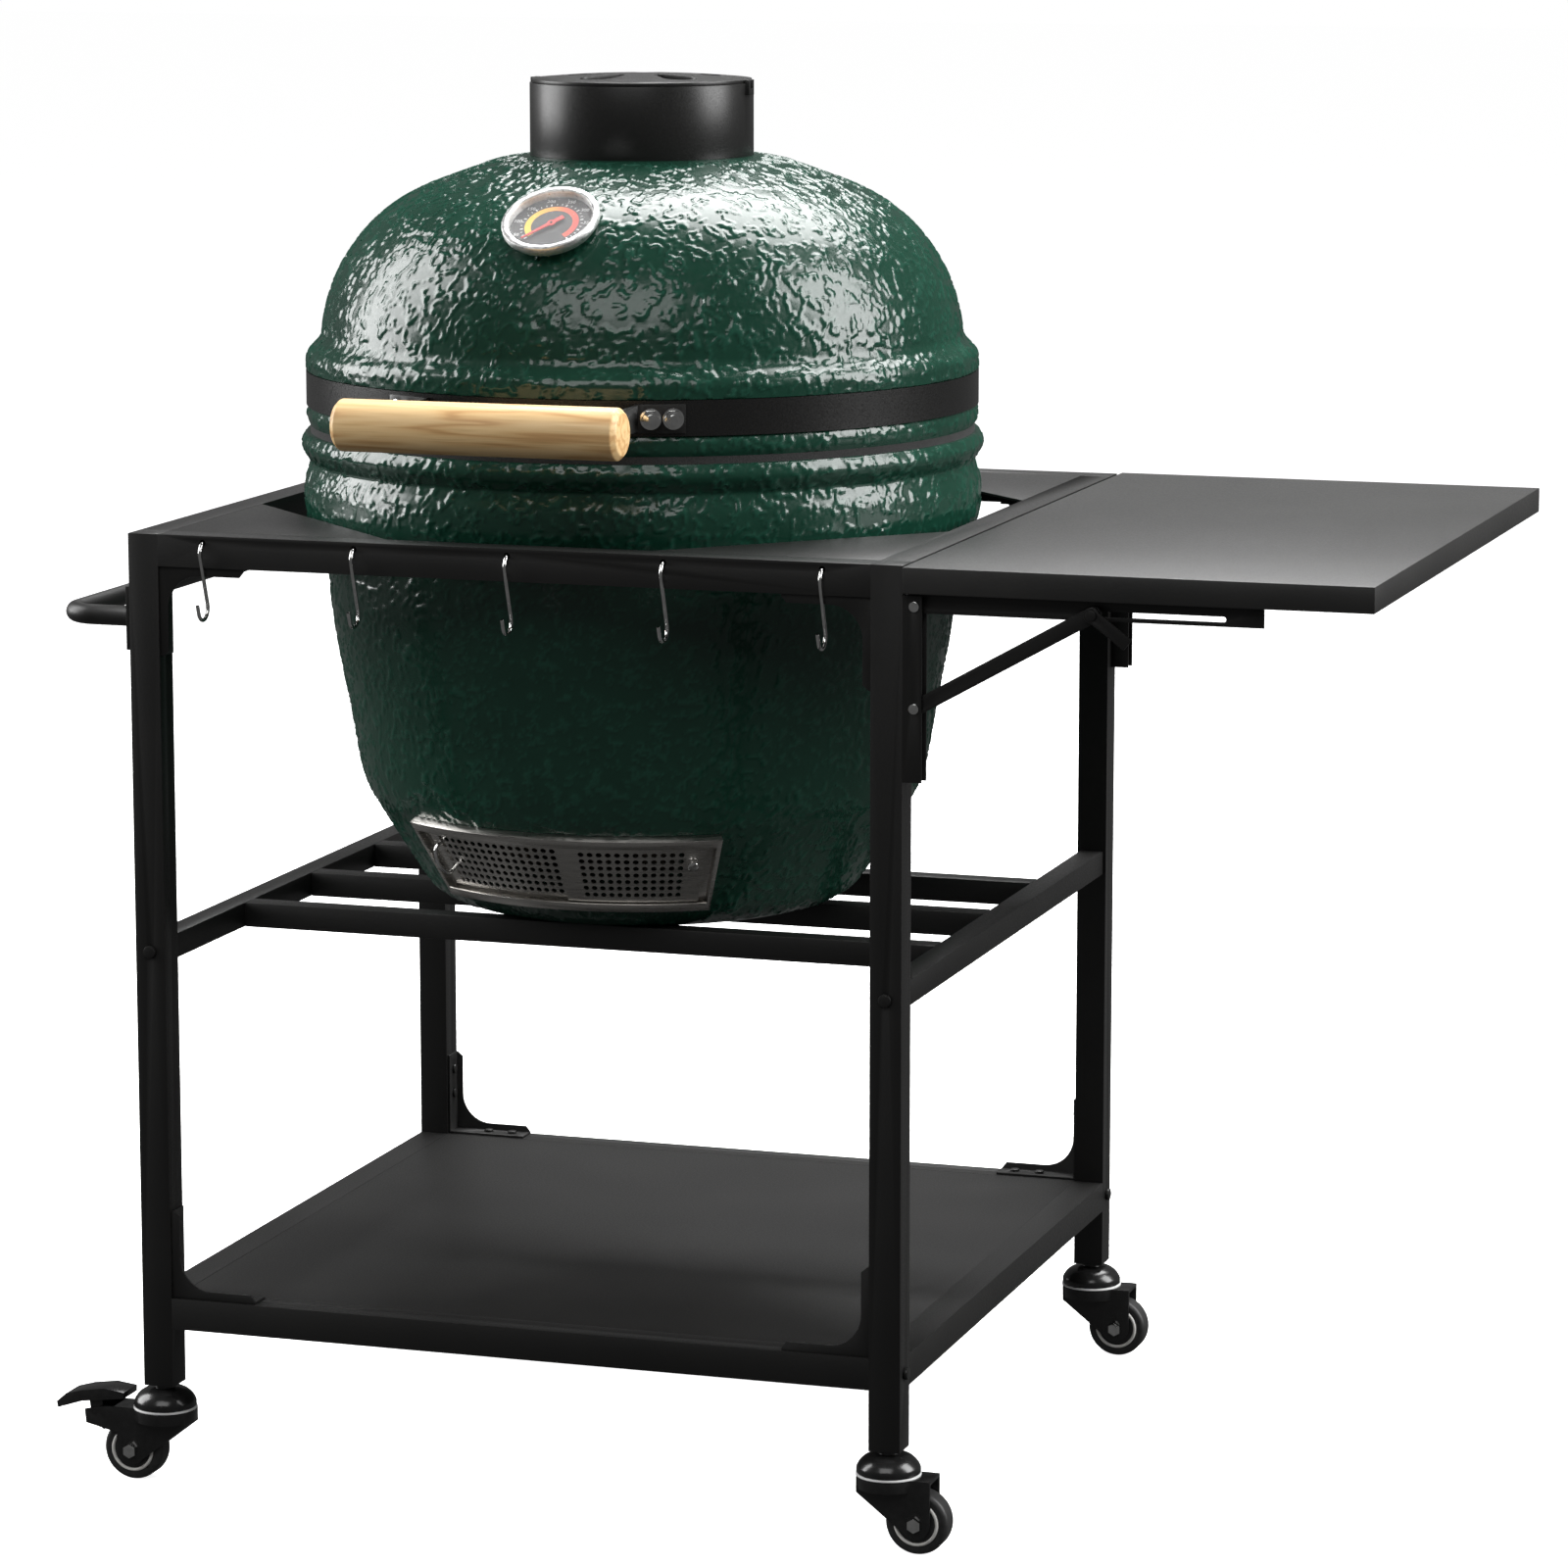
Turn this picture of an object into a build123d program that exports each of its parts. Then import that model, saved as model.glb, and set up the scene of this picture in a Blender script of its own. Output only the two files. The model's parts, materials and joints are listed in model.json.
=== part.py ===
from build123d import *
from math import atan2, cos, degrees, hypot, radians, sin, sqrt
import os

# Ceramic kamado grill in a wheeled steel cart with a folding side table.
# Millimetres, +Z up, the grill faces -Y and the side table is on +X.
# Everything is placed about the grill's upright axis, then moved so that the origin is the
# centre of the whole footprint on the floor.

# ---------------------------------------------------------------- general fits
RUNNING_FIT = 0.05        # radial clearance of a pin that turns in a hole
SLIP_GAP = 0.3            # gap between faces that pass each other
SHEET = 1.5               # folded sheet steel

# ---------------------------------------------------------------- cart frame
CART_WIDTH = 630.0        # over the legs, along X
CART_DEPTH = 628.0        # over the legs, along Y
TOP_HEIGHT = 765.0        # floor to the flush top of cart and side table
TUBE = 25.0               # legs and rails, square
TUBE_WALL = 1.5
SHELF_HEIGHT = 153.0      # floor to the top of the lower shelf
SHELF_SKIRT = 12.0
BAR_TUBE = 20.0           # support rails and cross bars, square
GRILL_SEAT_HEIGHT = 443.5  # floor to the top of the cross bars
CROSS_BAR_PITCH = 140.0
CORNER_PLATE_LEG = 182.0
CORNER_PLATE_THICKNESS = 2.0

GUSSET_LEG = 71.0
GUSSET_ARM_DEPTH = 7.0
GUSSET_INNER_RADIUS = 26.0
GUSSET_END_CHAMFER = 4.0
GUSSET_WIDTH = 20.0
GUSSET_SHEET = 2.0
GUSSET_SCREW_SETS = (14.0, 36.0)   # from the gusset's outer end towards its corner

SCREW_RADIUS = 2.0
SCREW_HEAD_RADIUS = 4.0
SCREW_HEAD_HEIGHT = 2.2
SCREW_LENGTH = 6.0
BOLT_RADIUS = 3.0
BOLT_HEAD_RADIUS = 5.0
BOLT_HEAD_HEIGHT = 3.5
BOLT_LENGTH = 14.0

# ---------------------------------------------------------------- push handle
PUSH_TUBE_RADIUS = 8.0
PUSH_TUBE_WALL = 1.5
PUSH_REACH = 60.0         # leg face to the grip's centreline
PUSH_HEIGHT = 698.0
PUSH_CORNER_RADIUS = 24.0
PUSH_PLATE_HEIGHT = 50.0
PUSH_PLATE_THICKNESS = 3.0

# ---------------------------------------------------------------- hooks
HOOK_PITCH = 126.0
HOOK_COUNT = 5
HOOK_HOLE_RADIUS = 2.5
HOOK_HOLE_DROP = 5.4      # below the top of the rail
HOOK_WIRE_RADIUS = 1.5
HOOK_TOP_RADIUS = 9.0
HOOK_DROP = 57.0
HOOK_MOUTH = 18.0
HOOK_TIP = 16.0
HOOK_TAIL = 9.5

# ---------------------------------------------------------------- side table
TABLE_GAP = 2.0           # cart to table
TABLE_LENGTH = 358.0
TABLE_HALF_DEPTH = 322.0
TABLE_SKIRT = 20.0
TABLE_RETURN = 30.0       # folded lip under the table

HINGE_OFFSET_X = 9.0      # leg face to the fold pivot
HINGE_DROP = 30.6         # table top to the fold pivot
STRUT_DROP = 77.2         # fold pivot down to the strut pivot
STRUT_SPAN = 137.5        # fold pivot out to the slot pin
STRUT_WIDTH = 12.0
STRUT_SHEET = 2.0
ARM_LENGTH = 266.0
ARM_HEIGHT = 16.0
ARM_NOSE_RADIUS = 6.5
ARM_SHEET = 1.5
ARM_FLANGE_START = 20.0
ARM_FLANGE_WIDTH = 14.0
SLOT_PIN_RADIUS = 2.05
SLOT_END_MARGIN = 0.5
CHANNEL_WIDTH = 15.0      # how far its flanges stand out from the leg
CHANNEL_DEPTH = 14.0
CHANNEL_TOP_RISE = 8.1    # above the fold pivot
CHANNEL_TAIL = 56.0       # below the strut pivot
PIVOT_RADIUS = 3.0
PIVOT_HEAD_RADIUS = 4.0
PIVOT_HEAD_HEIGHT = 1.2
RIVET_END = 0.2           # a lower rivet's end beyond its strut
LAYER_GAP = 0.5           # between bracket layers
LEVER_SHEET = 2.0
LEVER_LENGTH = 35.0
LEVER_WIDTH = 10.0
LEVER_DROOP = 36.9        # degrees below level
LEVER_CLEARANCE = 2.5     # lever in front of the leg face

# ---------------------------------------------------------------- casters
CASTER_HEAD_RADIUS = 25.0
CASTER_HEAD_HEIGHT = 15.0
CASTER_GAP = 3.5          # leg foot to the top of the head
CASTER_STEM_RADIUS = 5.0
CASTER_PLUG_HEIGHT = 20.0
RACE_RING_RADIUS = 25.5
RACE_RING_HEIGHT = 1.5
DRUM_HEIGHT = 9.5
WHEEL_RADIUS = 25.0
WHEEL_WIDTH = 20.0
TYRE_THICKNESS = 7.0
WHEEL_HEADROOM = 7.2      # wheel top to the underside of the fork's crown
CASTER_TRAIL = 25.0
AXLE_RADIUS = 4.0
AXLE_HEAD_RADIUS = 5.8
AXLE_HEAD_HEIGHT = 3.5
FORK_SIDE_GAP = 1.5
FORK_SHEET = 2.5
PEDAL_PIVOT_AHEAD = 5.5   # wheel's rim to the pedal's pin
PEDAL_PIVOT_ABOVE = 4.0   # wheel's top to the pedal's pin
PEDAL_TREAD_REACH = 34.0  # pin to the tip of the tread
PEDAL_PIN_RADIUS = 2.0

# ---------------------------------------------------------------- ceramic body
GASKET_THICKNESS = 3.0
GASKET_OUTER_RADIUS = 269.0
GASKET_INNER_RADIUS = 244.0
RIM_INNER_RADIUS = 240.0
BASE_RING_INNER_RADIUS = 236.0
BASE_WALL = 24.0
BASE_FLOOR = 22.5
BASE_FOOT_RADIUS = 150.0
# (radius, height above the seat) of the cone that carries the draft door
CONE_LOW = (182.0, 22.5)
CONE_HIGH = (221.0, 85.5)
# the bowl above the cone and the ring around its top
BASE_BOWL = [(237.0, 146.5), (249.0, 211.5), (254.8, 260.5)]
BASE_SHOULDER = (255.5, 294.5)
BASE_RING = [(272.0, 314.5), (274.0, 331.5), (272.5, 346.5)]
BASE_GROOVE = (268.6, 359.5)
BASE_LIP = [(275.6, 374.5), (272.0, 382.5)]

# lid: (radius, height above its lower edge)
BAND_HEIGHT = 27.5
BAND_THICKNESS = 2.5
BAND_SEAT_RADIUS = 269.5
BAND_RISE = 16.0          # lid edge to the band's lower edge
LID_LIP_RADIUS = 271.4
LID_NECK_RADIUS = 84.0
LID_NECK_HEIGHT = 243.0
CHIMNEY_RADIUS = 60.0
LID_SHOULDER = (91.5, 214.5)
LID_DOME = [(134.0, 204.5), (182.0, 186.0), (229.0, 148.0), (250.5, 110.0), (259.0, 72.0)]
LID_INNER = [(236.5, 71.0), (228.0, 104.0), (208.0, 136.0), (165.0, 169.0), (110.0, 187.0)]
LID_INNER_START = (240.0, 18.0)
LID_INNER_END = 196.0

# ---------------------------------------------------------------- inside the base
FIREBOX_FOOT_RADIUS = 135.0
FIREBOX_TOP_RADIUS = 208.0
FIREBOX_HEIGHT = 184.0
FIREBOX_WALL = 16.0
FIREBOX_DOOR_WIDTH = 90.0
FIREBOX_DOOR_HEIGHT = 34.0
FIRE_RING_HEIGHT = 85.0
FIRE_RING_OUTER = 214.0
FIRE_RING_INNER = 190.0
CHARCOAL_GRATE_RISE = 64.0
CHARCOAL_GRATE_THICKNESS = 6.0
CHARCOAL_HOLE_RADIUS = 6.0
CHARCOAL_HOLE_ROWS = ((0.0, 1), (40.0, 6), (75.0, 12), (108.0, 18))
COOKING_GRATE_RADIUS = 222.0
COOKING_GRATE_RIM = 8.0
COOKING_GRATE_HEIGHT = 6.0
COOKING_BAR_WIDTH = 4.0
COOKING_BAR_PITCH = 16.0

# ---------------------------------------------------------------- draft door
DRAFT_SHEET = 1.5
DOOR_SHEET = 1.2
DRAFT_LIP = 8.0
DRAFT_DEPTH = 8.0
DRAFT_LEFT = -35.0        # degrees about the axis, 0 at the front
DRAFT_RIGHT = 34.0
DRAFT_END_WIDTH = 1.0
DRAFT_WINDOW = (-29.0, 28.0)
DRAFT_WINDOW_MARGIN = 11.0
BASE_PORT_HALF_ANGLE = 26.0
BASE_PORT_MARGIN = 14.0
SCREEN_SPAN = (-33.0, 3.0)
FRONT_DOOR_SPAN = (1.0, 32.0)
DOOR_TRACK_GAP = 0.5      # door edge to the channel's web
SCREEN_TRACK = 2.1        # height of each door above the ceramic cone
FRONT_TRACK = 4.3
SCREEN_HANDLE_ANGLE = -29.0
SCREEN_HANDLE_LENGTH = 26.0
SCREEN_HANDLE_REACH = 12.0
SCREEN_HANDLE_WIRE = 1.5
DOOR_KNOB_ANGLE = 29.5
DOOR_KNOB_RADIUS = 4.5
DOOR_KNOB_REACH = 5.0

# ---------------------------------------------------------------- chimney cap
CAP_RADIUS = 90.0
CAP_WALL = 4.0
CAP_HEIGHT = 58.0
CAP_TOP = 3.0
PETAL_COUNT = 5
PETAL_PHASE = 52.0        # degrees from the front to the first opening
PETAL_INNER = (26.0, 4.0)   # distance from the axis and radius of the narrow end
PETAL_OUTER = (56.0, 14.0)
VENT_DISK_RADIUS = 88.5
VENT_DISK_THICKNESS = 2.6
VENT_DISK_CROWN = 4.0
VENT_PIVOT_RADIUS = 5.0
CAP_LUG_WIDTH = 12.5
CAP_LUG_HEIGHT = 12.0
CAP_LUG_DEPTH = 3.0
CAP_LUG_NOTCH = (4.5, 7.0)

# ---------------------------------------------------------------- thermometer
GAUGE_RADIUS_ON_DOME = 207.0
GAUGE_HEIGHT = 167.7      # above the lid's lower edge
GAUGE_TILT = 55.0         # degrees from level to the dial's normal
GAUGE_STANDOFF = 2.6
GAUGE_CASE_RADIUS = 35.0
GAUGE_BEZEL_RADIUS = 38.5
GAUGE_WINDOW_RADIUS = 33.0
GAUGE_DEPTH = 13.0
GAUGE_BEZEL_HEIGHT = 6.0
GAUGE_DIAL_THICKNESS = 1.0
GAUGE_GLASS_THICKNESS = 1.5
PROBE_RADIUS = 3.0
PROBE_LENGTH = 77.0
PROBE_CLEARANCE = 1.0
NEEDLE_PIN_RADIUS = 1.0
NEEDLE_LENGTH = 27.0
NEEDLE_TAIL = 11.0
NEEDLE_REST = 225.0       # degrees from +X in the dial's plane

# ---------------------------------------------------------------- lid handle
GRIP_LENGTH = 229.0
GRIP_RADIUS = 20.0
GRIP_REACH = 370.0        # axis of the grill to the centre of the grip
GRIP_CHAMFER = 4.0
GRIP_RISE = 30.0          # above the lid's lower edge
BRACKET_SHEET = 3.0
BRACKET_HEIGHT = 22.0
BRACKET_FOOT = (18.0, 26.2)
BRACKET_ARM_X = 86.0
BAND_BOLT_ANGLES = (20.6, 24.2)
STUD_RADIUS = 4.0
STUD_NUT_RADIUS = 7.4
STUD_NUT_HEIGHT = 6.5
STUD_WASHER_RADIUS = 8.2
STUD_WASHER_HEIGHT = 1.6
STUD_TIP = 3.0

# ---------------------------------------------------------------- lid hinge
PIN_REACH = 364.0
PIN_RISE = 18.0           # above the lid's lower edge
PIN_RADIUS = 5.0
PIN_HEAD_RADIUS = 8.0
PIN_HEAD_HEIGHT = 3.0
HINGE_SHEET = 4.0
LID_EAR_RADIUS = 16.0
BASE_EAR_RADIUS = 18.0
LID_EAR_X = 28.0
HINGE_FOOT_HALF_ANGLE = 11.0
HINGE_FOOT_RISE = (327.0, 356.0)   # above the grill seat
HINGE_BOLT_ANGLE = 9.0

# ---------------------------------------------------------------- derived places
CASTER_STACK = FORK_SHEET + RACE_RING_HEIGHT + SLIP_GAP + CASTER_HEAD_HEIGHT + CASTER_GAP
LEG_FOOT_HEIGHT = 2 * WHEEL_RADIUS + WHEEL_HEADROOM + CASTER_STACK
WHEEL_CORE_RADIUS = WHEEL_RADIUS - TYRE_THICKNESS
PEDAL_PIVOT_REACH = CASTER_TRAIL + WHEEL_RADIUS + PEDAL_PIVOT_AHEAD
PEDAL_PIVOT_HEIGHT = 2 * WHEEL_RADIUS + PEDAL_PIVOT_ABOVE
PEDAL_TIP_REACH = PEDAL_PIVOT_REACH + PEDAL_TREAD_REACH
BASE_RIM_HEIGHT = GRILL_SEAT_HEIGHT + BASE_LIP[-1][1]

HALF_W = CART_WIDTH / 2
HALF_D = CART_DEPTH / 2
LEG_X = HALF_W - TUBE / 2
LEG_Y = HALF_D - TUBE / 2
INNER_X = HALF_W - TUBE
INNER_Y = HALF_D - TUBE
RAIL_Z = TOP_HEIGHT - TUBE / 2
SHELF_RAIL_Z = SHELF_HEIGHT - TUBE / 2
SUPPORT_RAIL_Z = GRILL_SEAT_HEIGHT - BAR_TUBE / 2

FOLD_X = HALF_W + HINGE_OFFSET_X
FOLD_Z = TOP_HEIGHT - HINGE_DROP
STRUT_Z = FOLD_Z - STRUT_DROP
STRUT_LENGTH = hypot(STRUT_SPAN, STRUT_DROP)
PIN_TRAVEL = STRUT_DROP + STRUT_LENGTH - STRUT_SPAN   # slot pin, flat to folded
STRUT_ANGLE = degrees(atan2(STRUT_DROP, STRUT_SPAN))  # rise of the strut when the table is up
STRUT_TURN = 90.0 + STRUT_ANGLE                       # until it hangs straight down
TABLE_RIGHT = HALF_W + TABLE_GAP + TABLE_LENGTH

# bracket layers from the leg's front face backwards
CHANNEL_FRONT = -HALF_D
STRUT_FRONT = CHANNEL_FRONT + SHEET + LAYER_GAP
ARM_FRONT = STRUT_FRONT + STRUT_SHEET + LAYER_GAP + 0.5

LID_EDGE = BASE_RIM_HEIGHT + 2 * GASKET_THICKNESS
BAND_RADIUS = BAND_SEAT_RADIUS + BAND_THICKNESS
PIN_Z = LID_EDGE + PIN_RISE
GRIP_Z = LID_EDGE + GRIP_RISE
CAP_SEAT = LID_EDGE + LID_SHOULDER[1]
CAP_LID = CAP_SEAT + CAP_HEIGHT
FIREBOX_FLOOR = GRILL_SEAT_HEIGHT + BASE_FLOOR
FIRE_RING_FLOOR = FIREBOX_FLOOR + FIREBOX_HEIGHT
COOKING_GRATE_FLOOR = FIRE_RING_FLOOR + FIRE_RING_HEIGHT

CASTER_HEAD_TOP = LEG_FOOT_HEIGHT - CASTER_GAP
RACE_TOP = CASTER_HEAD_TOP - CASTER_HEAD_HEIGHT - SLIP_GAP
DRUM_TOP = RACE_TOP - RACE_RING_HEIGHT

GAUGE_PLANE = Plane(
    origin=(0, -GAUGE_RADIUS_ON_DOME, LID_EDGE + GAUGE_HEIGHT),
    x_dir=(1, 0, 0),
    z_dir=(0, -cos(radians(GAUGE_TILT)), sin(radians(GAUGE_TILT))),
)

# centre of everything on the floor
ORIGIN_X = (TABLE_RIGHT - (LEG_X + PEDAL_TIP_REACH)) / 2
ORIGIN_Y = (PIN_REACH + BASE_EAR_RADIUS - GRIP_REACH - GRIP_RADIUS) / 2


# ---------------------------------------------------------------- shape helpers
def block(x, y, z):
    """Box between (low, high) pairs."""
    centre = [(low + high) / 2 for low, high in (x, y, z)]
    return Pos(*centre) * Box(x[1] - x[0], y[1] - y[0], z[1] - z[0])


def rod(start, end, radius):
    """Round bar from one point to another."""
    start, end = Vector(start), Vector(end)
    length = (end - start).length
    upright = (Align.CENTER, Align.CENTER, Align.MIN)
    return Plane(start, z_dir=end - start) * Cylinder(radius, length, align=upright)


def square_tube(x, y, z, along):
    """Hollow square tube in a box, open at both ends of one axis."""
    inside = [(low + TUBE_WALL, high - TUBE_WALL) for low, high in (x, y, z)]
    inside[along] = ((x, y, z)[along][0] - 1, (x, y, z)[along][1] + 1)
    return block(x, y, z) - block(*inside)


def turned(outline, start=0.0, arc=360.0):
    """Closed (radius, height) outline turned about the grill's axis; 0 degrees is the front."""
    face = Plane.XZ * make_face(outline)
    return Rot(0, 0, start - 90) * revolve(face, Axis.Z, arc)


def ring(inner, outer, z, start=0.0, arc=360.0):
    """Flat or banded ring between two radii."""
    corners = [(inner, z[0]), (outer, z[0]), (outer, z[1]), (inner, z[1])]
    return turned(Polyline(*corners, close=True), start, arc)


def bent_wire(points, bend, radius):
    """Round wire along straight runs joined by round bends."""
    path = FilletPolyline(*points, radius=bend)
    return sweep(Plane(path @ 0, z_dir=path % 0) * Circle(radius), path=path)


def plate_xz(outline, y):
    """Flat plate from a closed X-Z outline, between two values of y."""
    return Pos(0, y[0], 0) * extrude(Plane.XZ * make_face(outline), -(y[1] - y[0]))


def radial(angle, radius, z):
    """Point at an angle from the front, a radius and a height."""
    return Vector(radius * sin(radians(angle)), -radius * cos(radians(angle)), z)


def solids_of(pieces):
    """Separate solids kept as one group."""
    return Compound([piece.solid() for piece in pieces])


def front_and_rear(piece):
    return [piece, mirror(piece, about=Plane.XZ)]


def left_and_right(piece):
    return [piece, mirror(piece, about=Plane.YZ)]


def four_corners(piece):
    return [copy for side in left_and_right(piece) for copy in front_and_rear(side)]


# ---------------------------------------------------------------- cart
def frame_bolt_places():
    """(head centre, direction into the frame) of the right-hand frame bolts at the front."""
    front = (Vector(LEG_X, -HALF_D, SUPPORT_RAIL_Z), Vector(0, 1, 0))
    side = (Vector(HALF_W, -LEG_Y, SHELF_RAIL_Z), Vector(-1, 0, 0))
    return [front, side]


def button_screw(place, inward, radius, length, head_radius, head_height):
    head = rod(place - inward * head_height, place, head_radius)
    return head + rod(place, place + inward * length, radius)


def gusset_screw_places():
    """Screws of the right front gussets: two into the leg and two into the rail, low and high."""
    places = []
    middle = -LEG_Y
    for rail_face, up in ((SHELF_HEIGHT, 1), (TOP_HEIGHT - TUBE, -1)):
        for back in GUSSET_SCREW_SETS:
            far = GUSSET_LEG - back
            on_leg = Vector(INNER_X - GUSSET_SHEET, middle, rail_face + up * far)
            places.append((on_leg, Vector(1, 0, 0)))
            on_rail = Vector(INNER_X - far, middle, rail_face + up * GUSSET_SHEET)
            places.append((on_rail, Vector(0, 0, -up)))
    return places


def push_plate_screw_places():
    reach = PUSH_PLATE_HEIGHT / 2 - 8
    face = -HALF_W - PUSH_PLATE_THICKNESS
    return [
        (Vector(face, side * LEG_Y, PUSH_HEIGHT + lift), Vector(1, 0, 0))
        for side in (-1, 1)
        for lift in (-reach, reach)
    ]


def screw_holes(places, radius, length):
    """Drill for each fastener, a little wider than its shank."""
    return [
        rod(place - inward, place + inward * (length + 1), radius + RUNNING_FIT)
        for place, inward in places
    ]


def mirrored_places(places):
    """Repeat right front fasteners at all four corners."""
    out = []
    for place, inward in places:
        for sx in (1, -1):
            for sy in (1, -1):
                flip = Vector(sx, sy, 1)
                out.append((
                    Vector(place.X * flip.X, place.Y * flip.Y, place.Z),
                    Vector(inward.X * flip.X, inward.Y * flip.Y, inward.Z),
                ))
    return out


def legs():
    height = (LEG_FOOT_HEIGHT, TOP_HEIGHT)
    outer = block((INNER_X, HALF_W), (-HALF_D, -INNER_Y), height)
    hollow = block(
        (INNER_X + TUBE_WALL, HALF_W - TUBE_WALL),
        (-HALF_D + TUBE_WALL, -INNER_Y - TUBE_WALL),
        (LEG_FOOT_HEIGHT - 1, TOP_HEIGHT - TUBE_WALL),
    )
    pieces = four_corners(outer - hollow)
    holes = screw_holes(mirrored_places(gusset_screw_places()), SCREW_RADIUS, SCREW_LENGTH)
    holes += screw_holes(push_plate_screw_places(), SCREW_RADIUS, SCREW_LENGTH)
    holes += screw_holes(mirrored_places(frame_bolt_places()), BOLT_RADIUS, BOLT_LENGTH)
    return solids_of([piece - holes for piece in pieces])


def hook_hole_centres():
    first = -HOOK_PITCH * (HOOK_COUNT - 1) / 2
    z = TOP_HEIGHT - HOOK_HOLE_DROP
    return [Vector(first + i * HOOK_PITCH, -HALF_D + TUBE_WALL / 2, z) for i in range(HOOK_COUNT)]


def top_rails():
    height = (TOP_HEIGHT - TUBE, TOP_HEIGHT)
    front = square_tube((-INNER_X, INNER_X), (-HALF_D, -INNER_Y), height, 0)
    side = square_tube((INNER_X, HALF_W), (-INNER_Y, INNER_Y), height, 1)
    screws = screw_holes(mirrored_places(gusset_screw_places()), SCREW_RADIUS, SCREW_LENGTH)
    hooks = [
        rod(c - Vector(0, TUBE_WALL, 0), c + Vector(0, TUBE_WALL, 0), HOOK_HOLE_RADIUS)
        for c in hook_hole_centres()
    ]
    front, rear = [piece - screws for piece in front_and_rear(front)]
    return solids_of([front - hooks, rear, *left_and_right(side)])


def corner_plates():
    low = TOP_HEIGHT - CORNER_PLATE_THICKNESS
    corners = [
        (INNER_X, INNER_Y),
        (INNER_X - CORNER_PLATE_LEG, INNER_Y),
        (INNER_X, INNER_Y - CORNER_PLATE_LEG),
    ]
    triangle = make_face(Polyline(*corners, close=True))
    plate = Pos(0, 0, low) * extrude(triangle, CORNER_PLATE_THICKNESS)
    return solids_of(four_corners(plate))


def shelf_rails():
    height = (SHELF_HEIGHT - TUBE, SHELF_HEIGHT)
    front = square_tube((-INNER_X, INNER_X), (-HALF_D, -INNER_Y), height, 0)
    side = square_tube((INNER_X, HALF_W), (-INNER_Y, INNER_Y), height, 1)
    screws = screw_holes(mirrored_places(gusset_screw_places()), SCREW_RADIUS, SCREW_LENGTH)
    return solids_of([*(p - screws for p in front_and_rear(front)), *left_and_right(side)])


def shelf_panel():
    tray = block((-INNER_X, INNER_X), (-INNER_Y, INNER_Y), (SHELF_HEIGHT - SHELF_SKIRT, SHELF_HEIGHT))
    under = block(
        (-INNER_X + SHEET, INNER_X - SHEET),
        (-INNER_Y + SHEET, INNER_Y - SHEET),
        (SHELF_HEIGHT - SHELF_SKIRT - 1, SHELF_HEIGHT - SHEET),
    )
    return solids_of([tray - under])


def support_rails():
    inset = (TUBE - BAR_TUBE) / 2
    rail = square_tube(
        (INNER_X + inset, HALF_W - inset),
        (-INNER_Y, INNER_Y),
        (GRILL_SEAT_HEIGHT - BAR_TUBE, GRILL_SEAT_HEIGHT),
        1,
    )
    return solids_of(left_and_right(rail))


def cross_bars():
    inset = (TUBE - BAR_TUBE) / 2
    reach = INNER_X + inset
    bar = square_tube(
        (-reach, reach),
        (-BAR_TUBE / 2, BAR_TUBE / 2),
        (GRILL_SEAT_HEIGHT - BAR_TUBE, GRILL_SEAT_HEIGHT),
        0,
    )
    return solids_of([Pos(0, i * CROSS_BAR_PITCH, 0) * bar for i in (-1, 0, 1)])


def gusset(rail_face, up):
    """Corner bracket of the right front leg: curved web at the front, flange on leg and rail."""
    far = GUSSET_LEG
    y_front = -LEG_Y - GUSSET_WIDTH / 2
    arm = GUSSET_ARM_DEPTH
    straight = far - GUSSET_END_CHAMFER
    bend = arm + GUSSET_INNER_RADIUS
    mid = bend - GUSSET_INNER_RADIUS * cos(radians(45))

    def at(across, rise):
        return (INNER_X - across, rail_face + up * rise)

    outline = [
        Polyline(
            at(arm, bend), at(arm, straight), at(GUSSET_SHEET, far), at(0, far), at(0, 0),
            at(far, 0), at(far, GUSSET_SHEET), at(straight, arm), at(bend, arm),
        ),
        ThreePointArc(at(bend, arm), at(mid, mid), at(arm, bend)),
    ]
    web = plate_xz(outline, (y_front, y_front + GUSSET_SHEET))
    z = sorted((rail_face, rail_face + up * GUSSET_SHEET))
    flange = block((INNER_X - far, INNER_X), (y_front, y_front + GUSSET_WIDTH), z)
    z = sorted((rail_face, rail_face + up * far))
    flange += block((INNER_X - GUSSET_SHEET, INNER_X), (y_front, y_front + GUSSET_WIDTH), z)
    holes = screw_holes(gusset_screw_places(), SCREW_RADIUS, SCREW_LENGTH)
    return web + flange - holes


def corner_gussets():
    low = gusset(SHELF_HEIGHT, 1)
    high = gusset(TOP_HEIGHT - TUBE, -1)
    return solids_of(four_corners(low) + four_corners(high))


def machine_screws():
    places = mirrored_places(gusset_screw_places()) + push_plate_screw_places()
    return solids_of([
        button_screw(*p, SCREW_RADIUS, SCREW_LENGTH, SCREW_HEAD_RADIUS, SCREW_HEAD_HEIGHT)
        for p in places
    ])


def frame_bolts():
    return solids_of([
        button_screw(*p, BOLT_RADIUS, BOLT_LENGTH, BOLT_HEAD_RADIUS, BOLT_HEAD_HEIGHT)
        for p in mirrored_places(frame_bolt_places())
    ])


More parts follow.
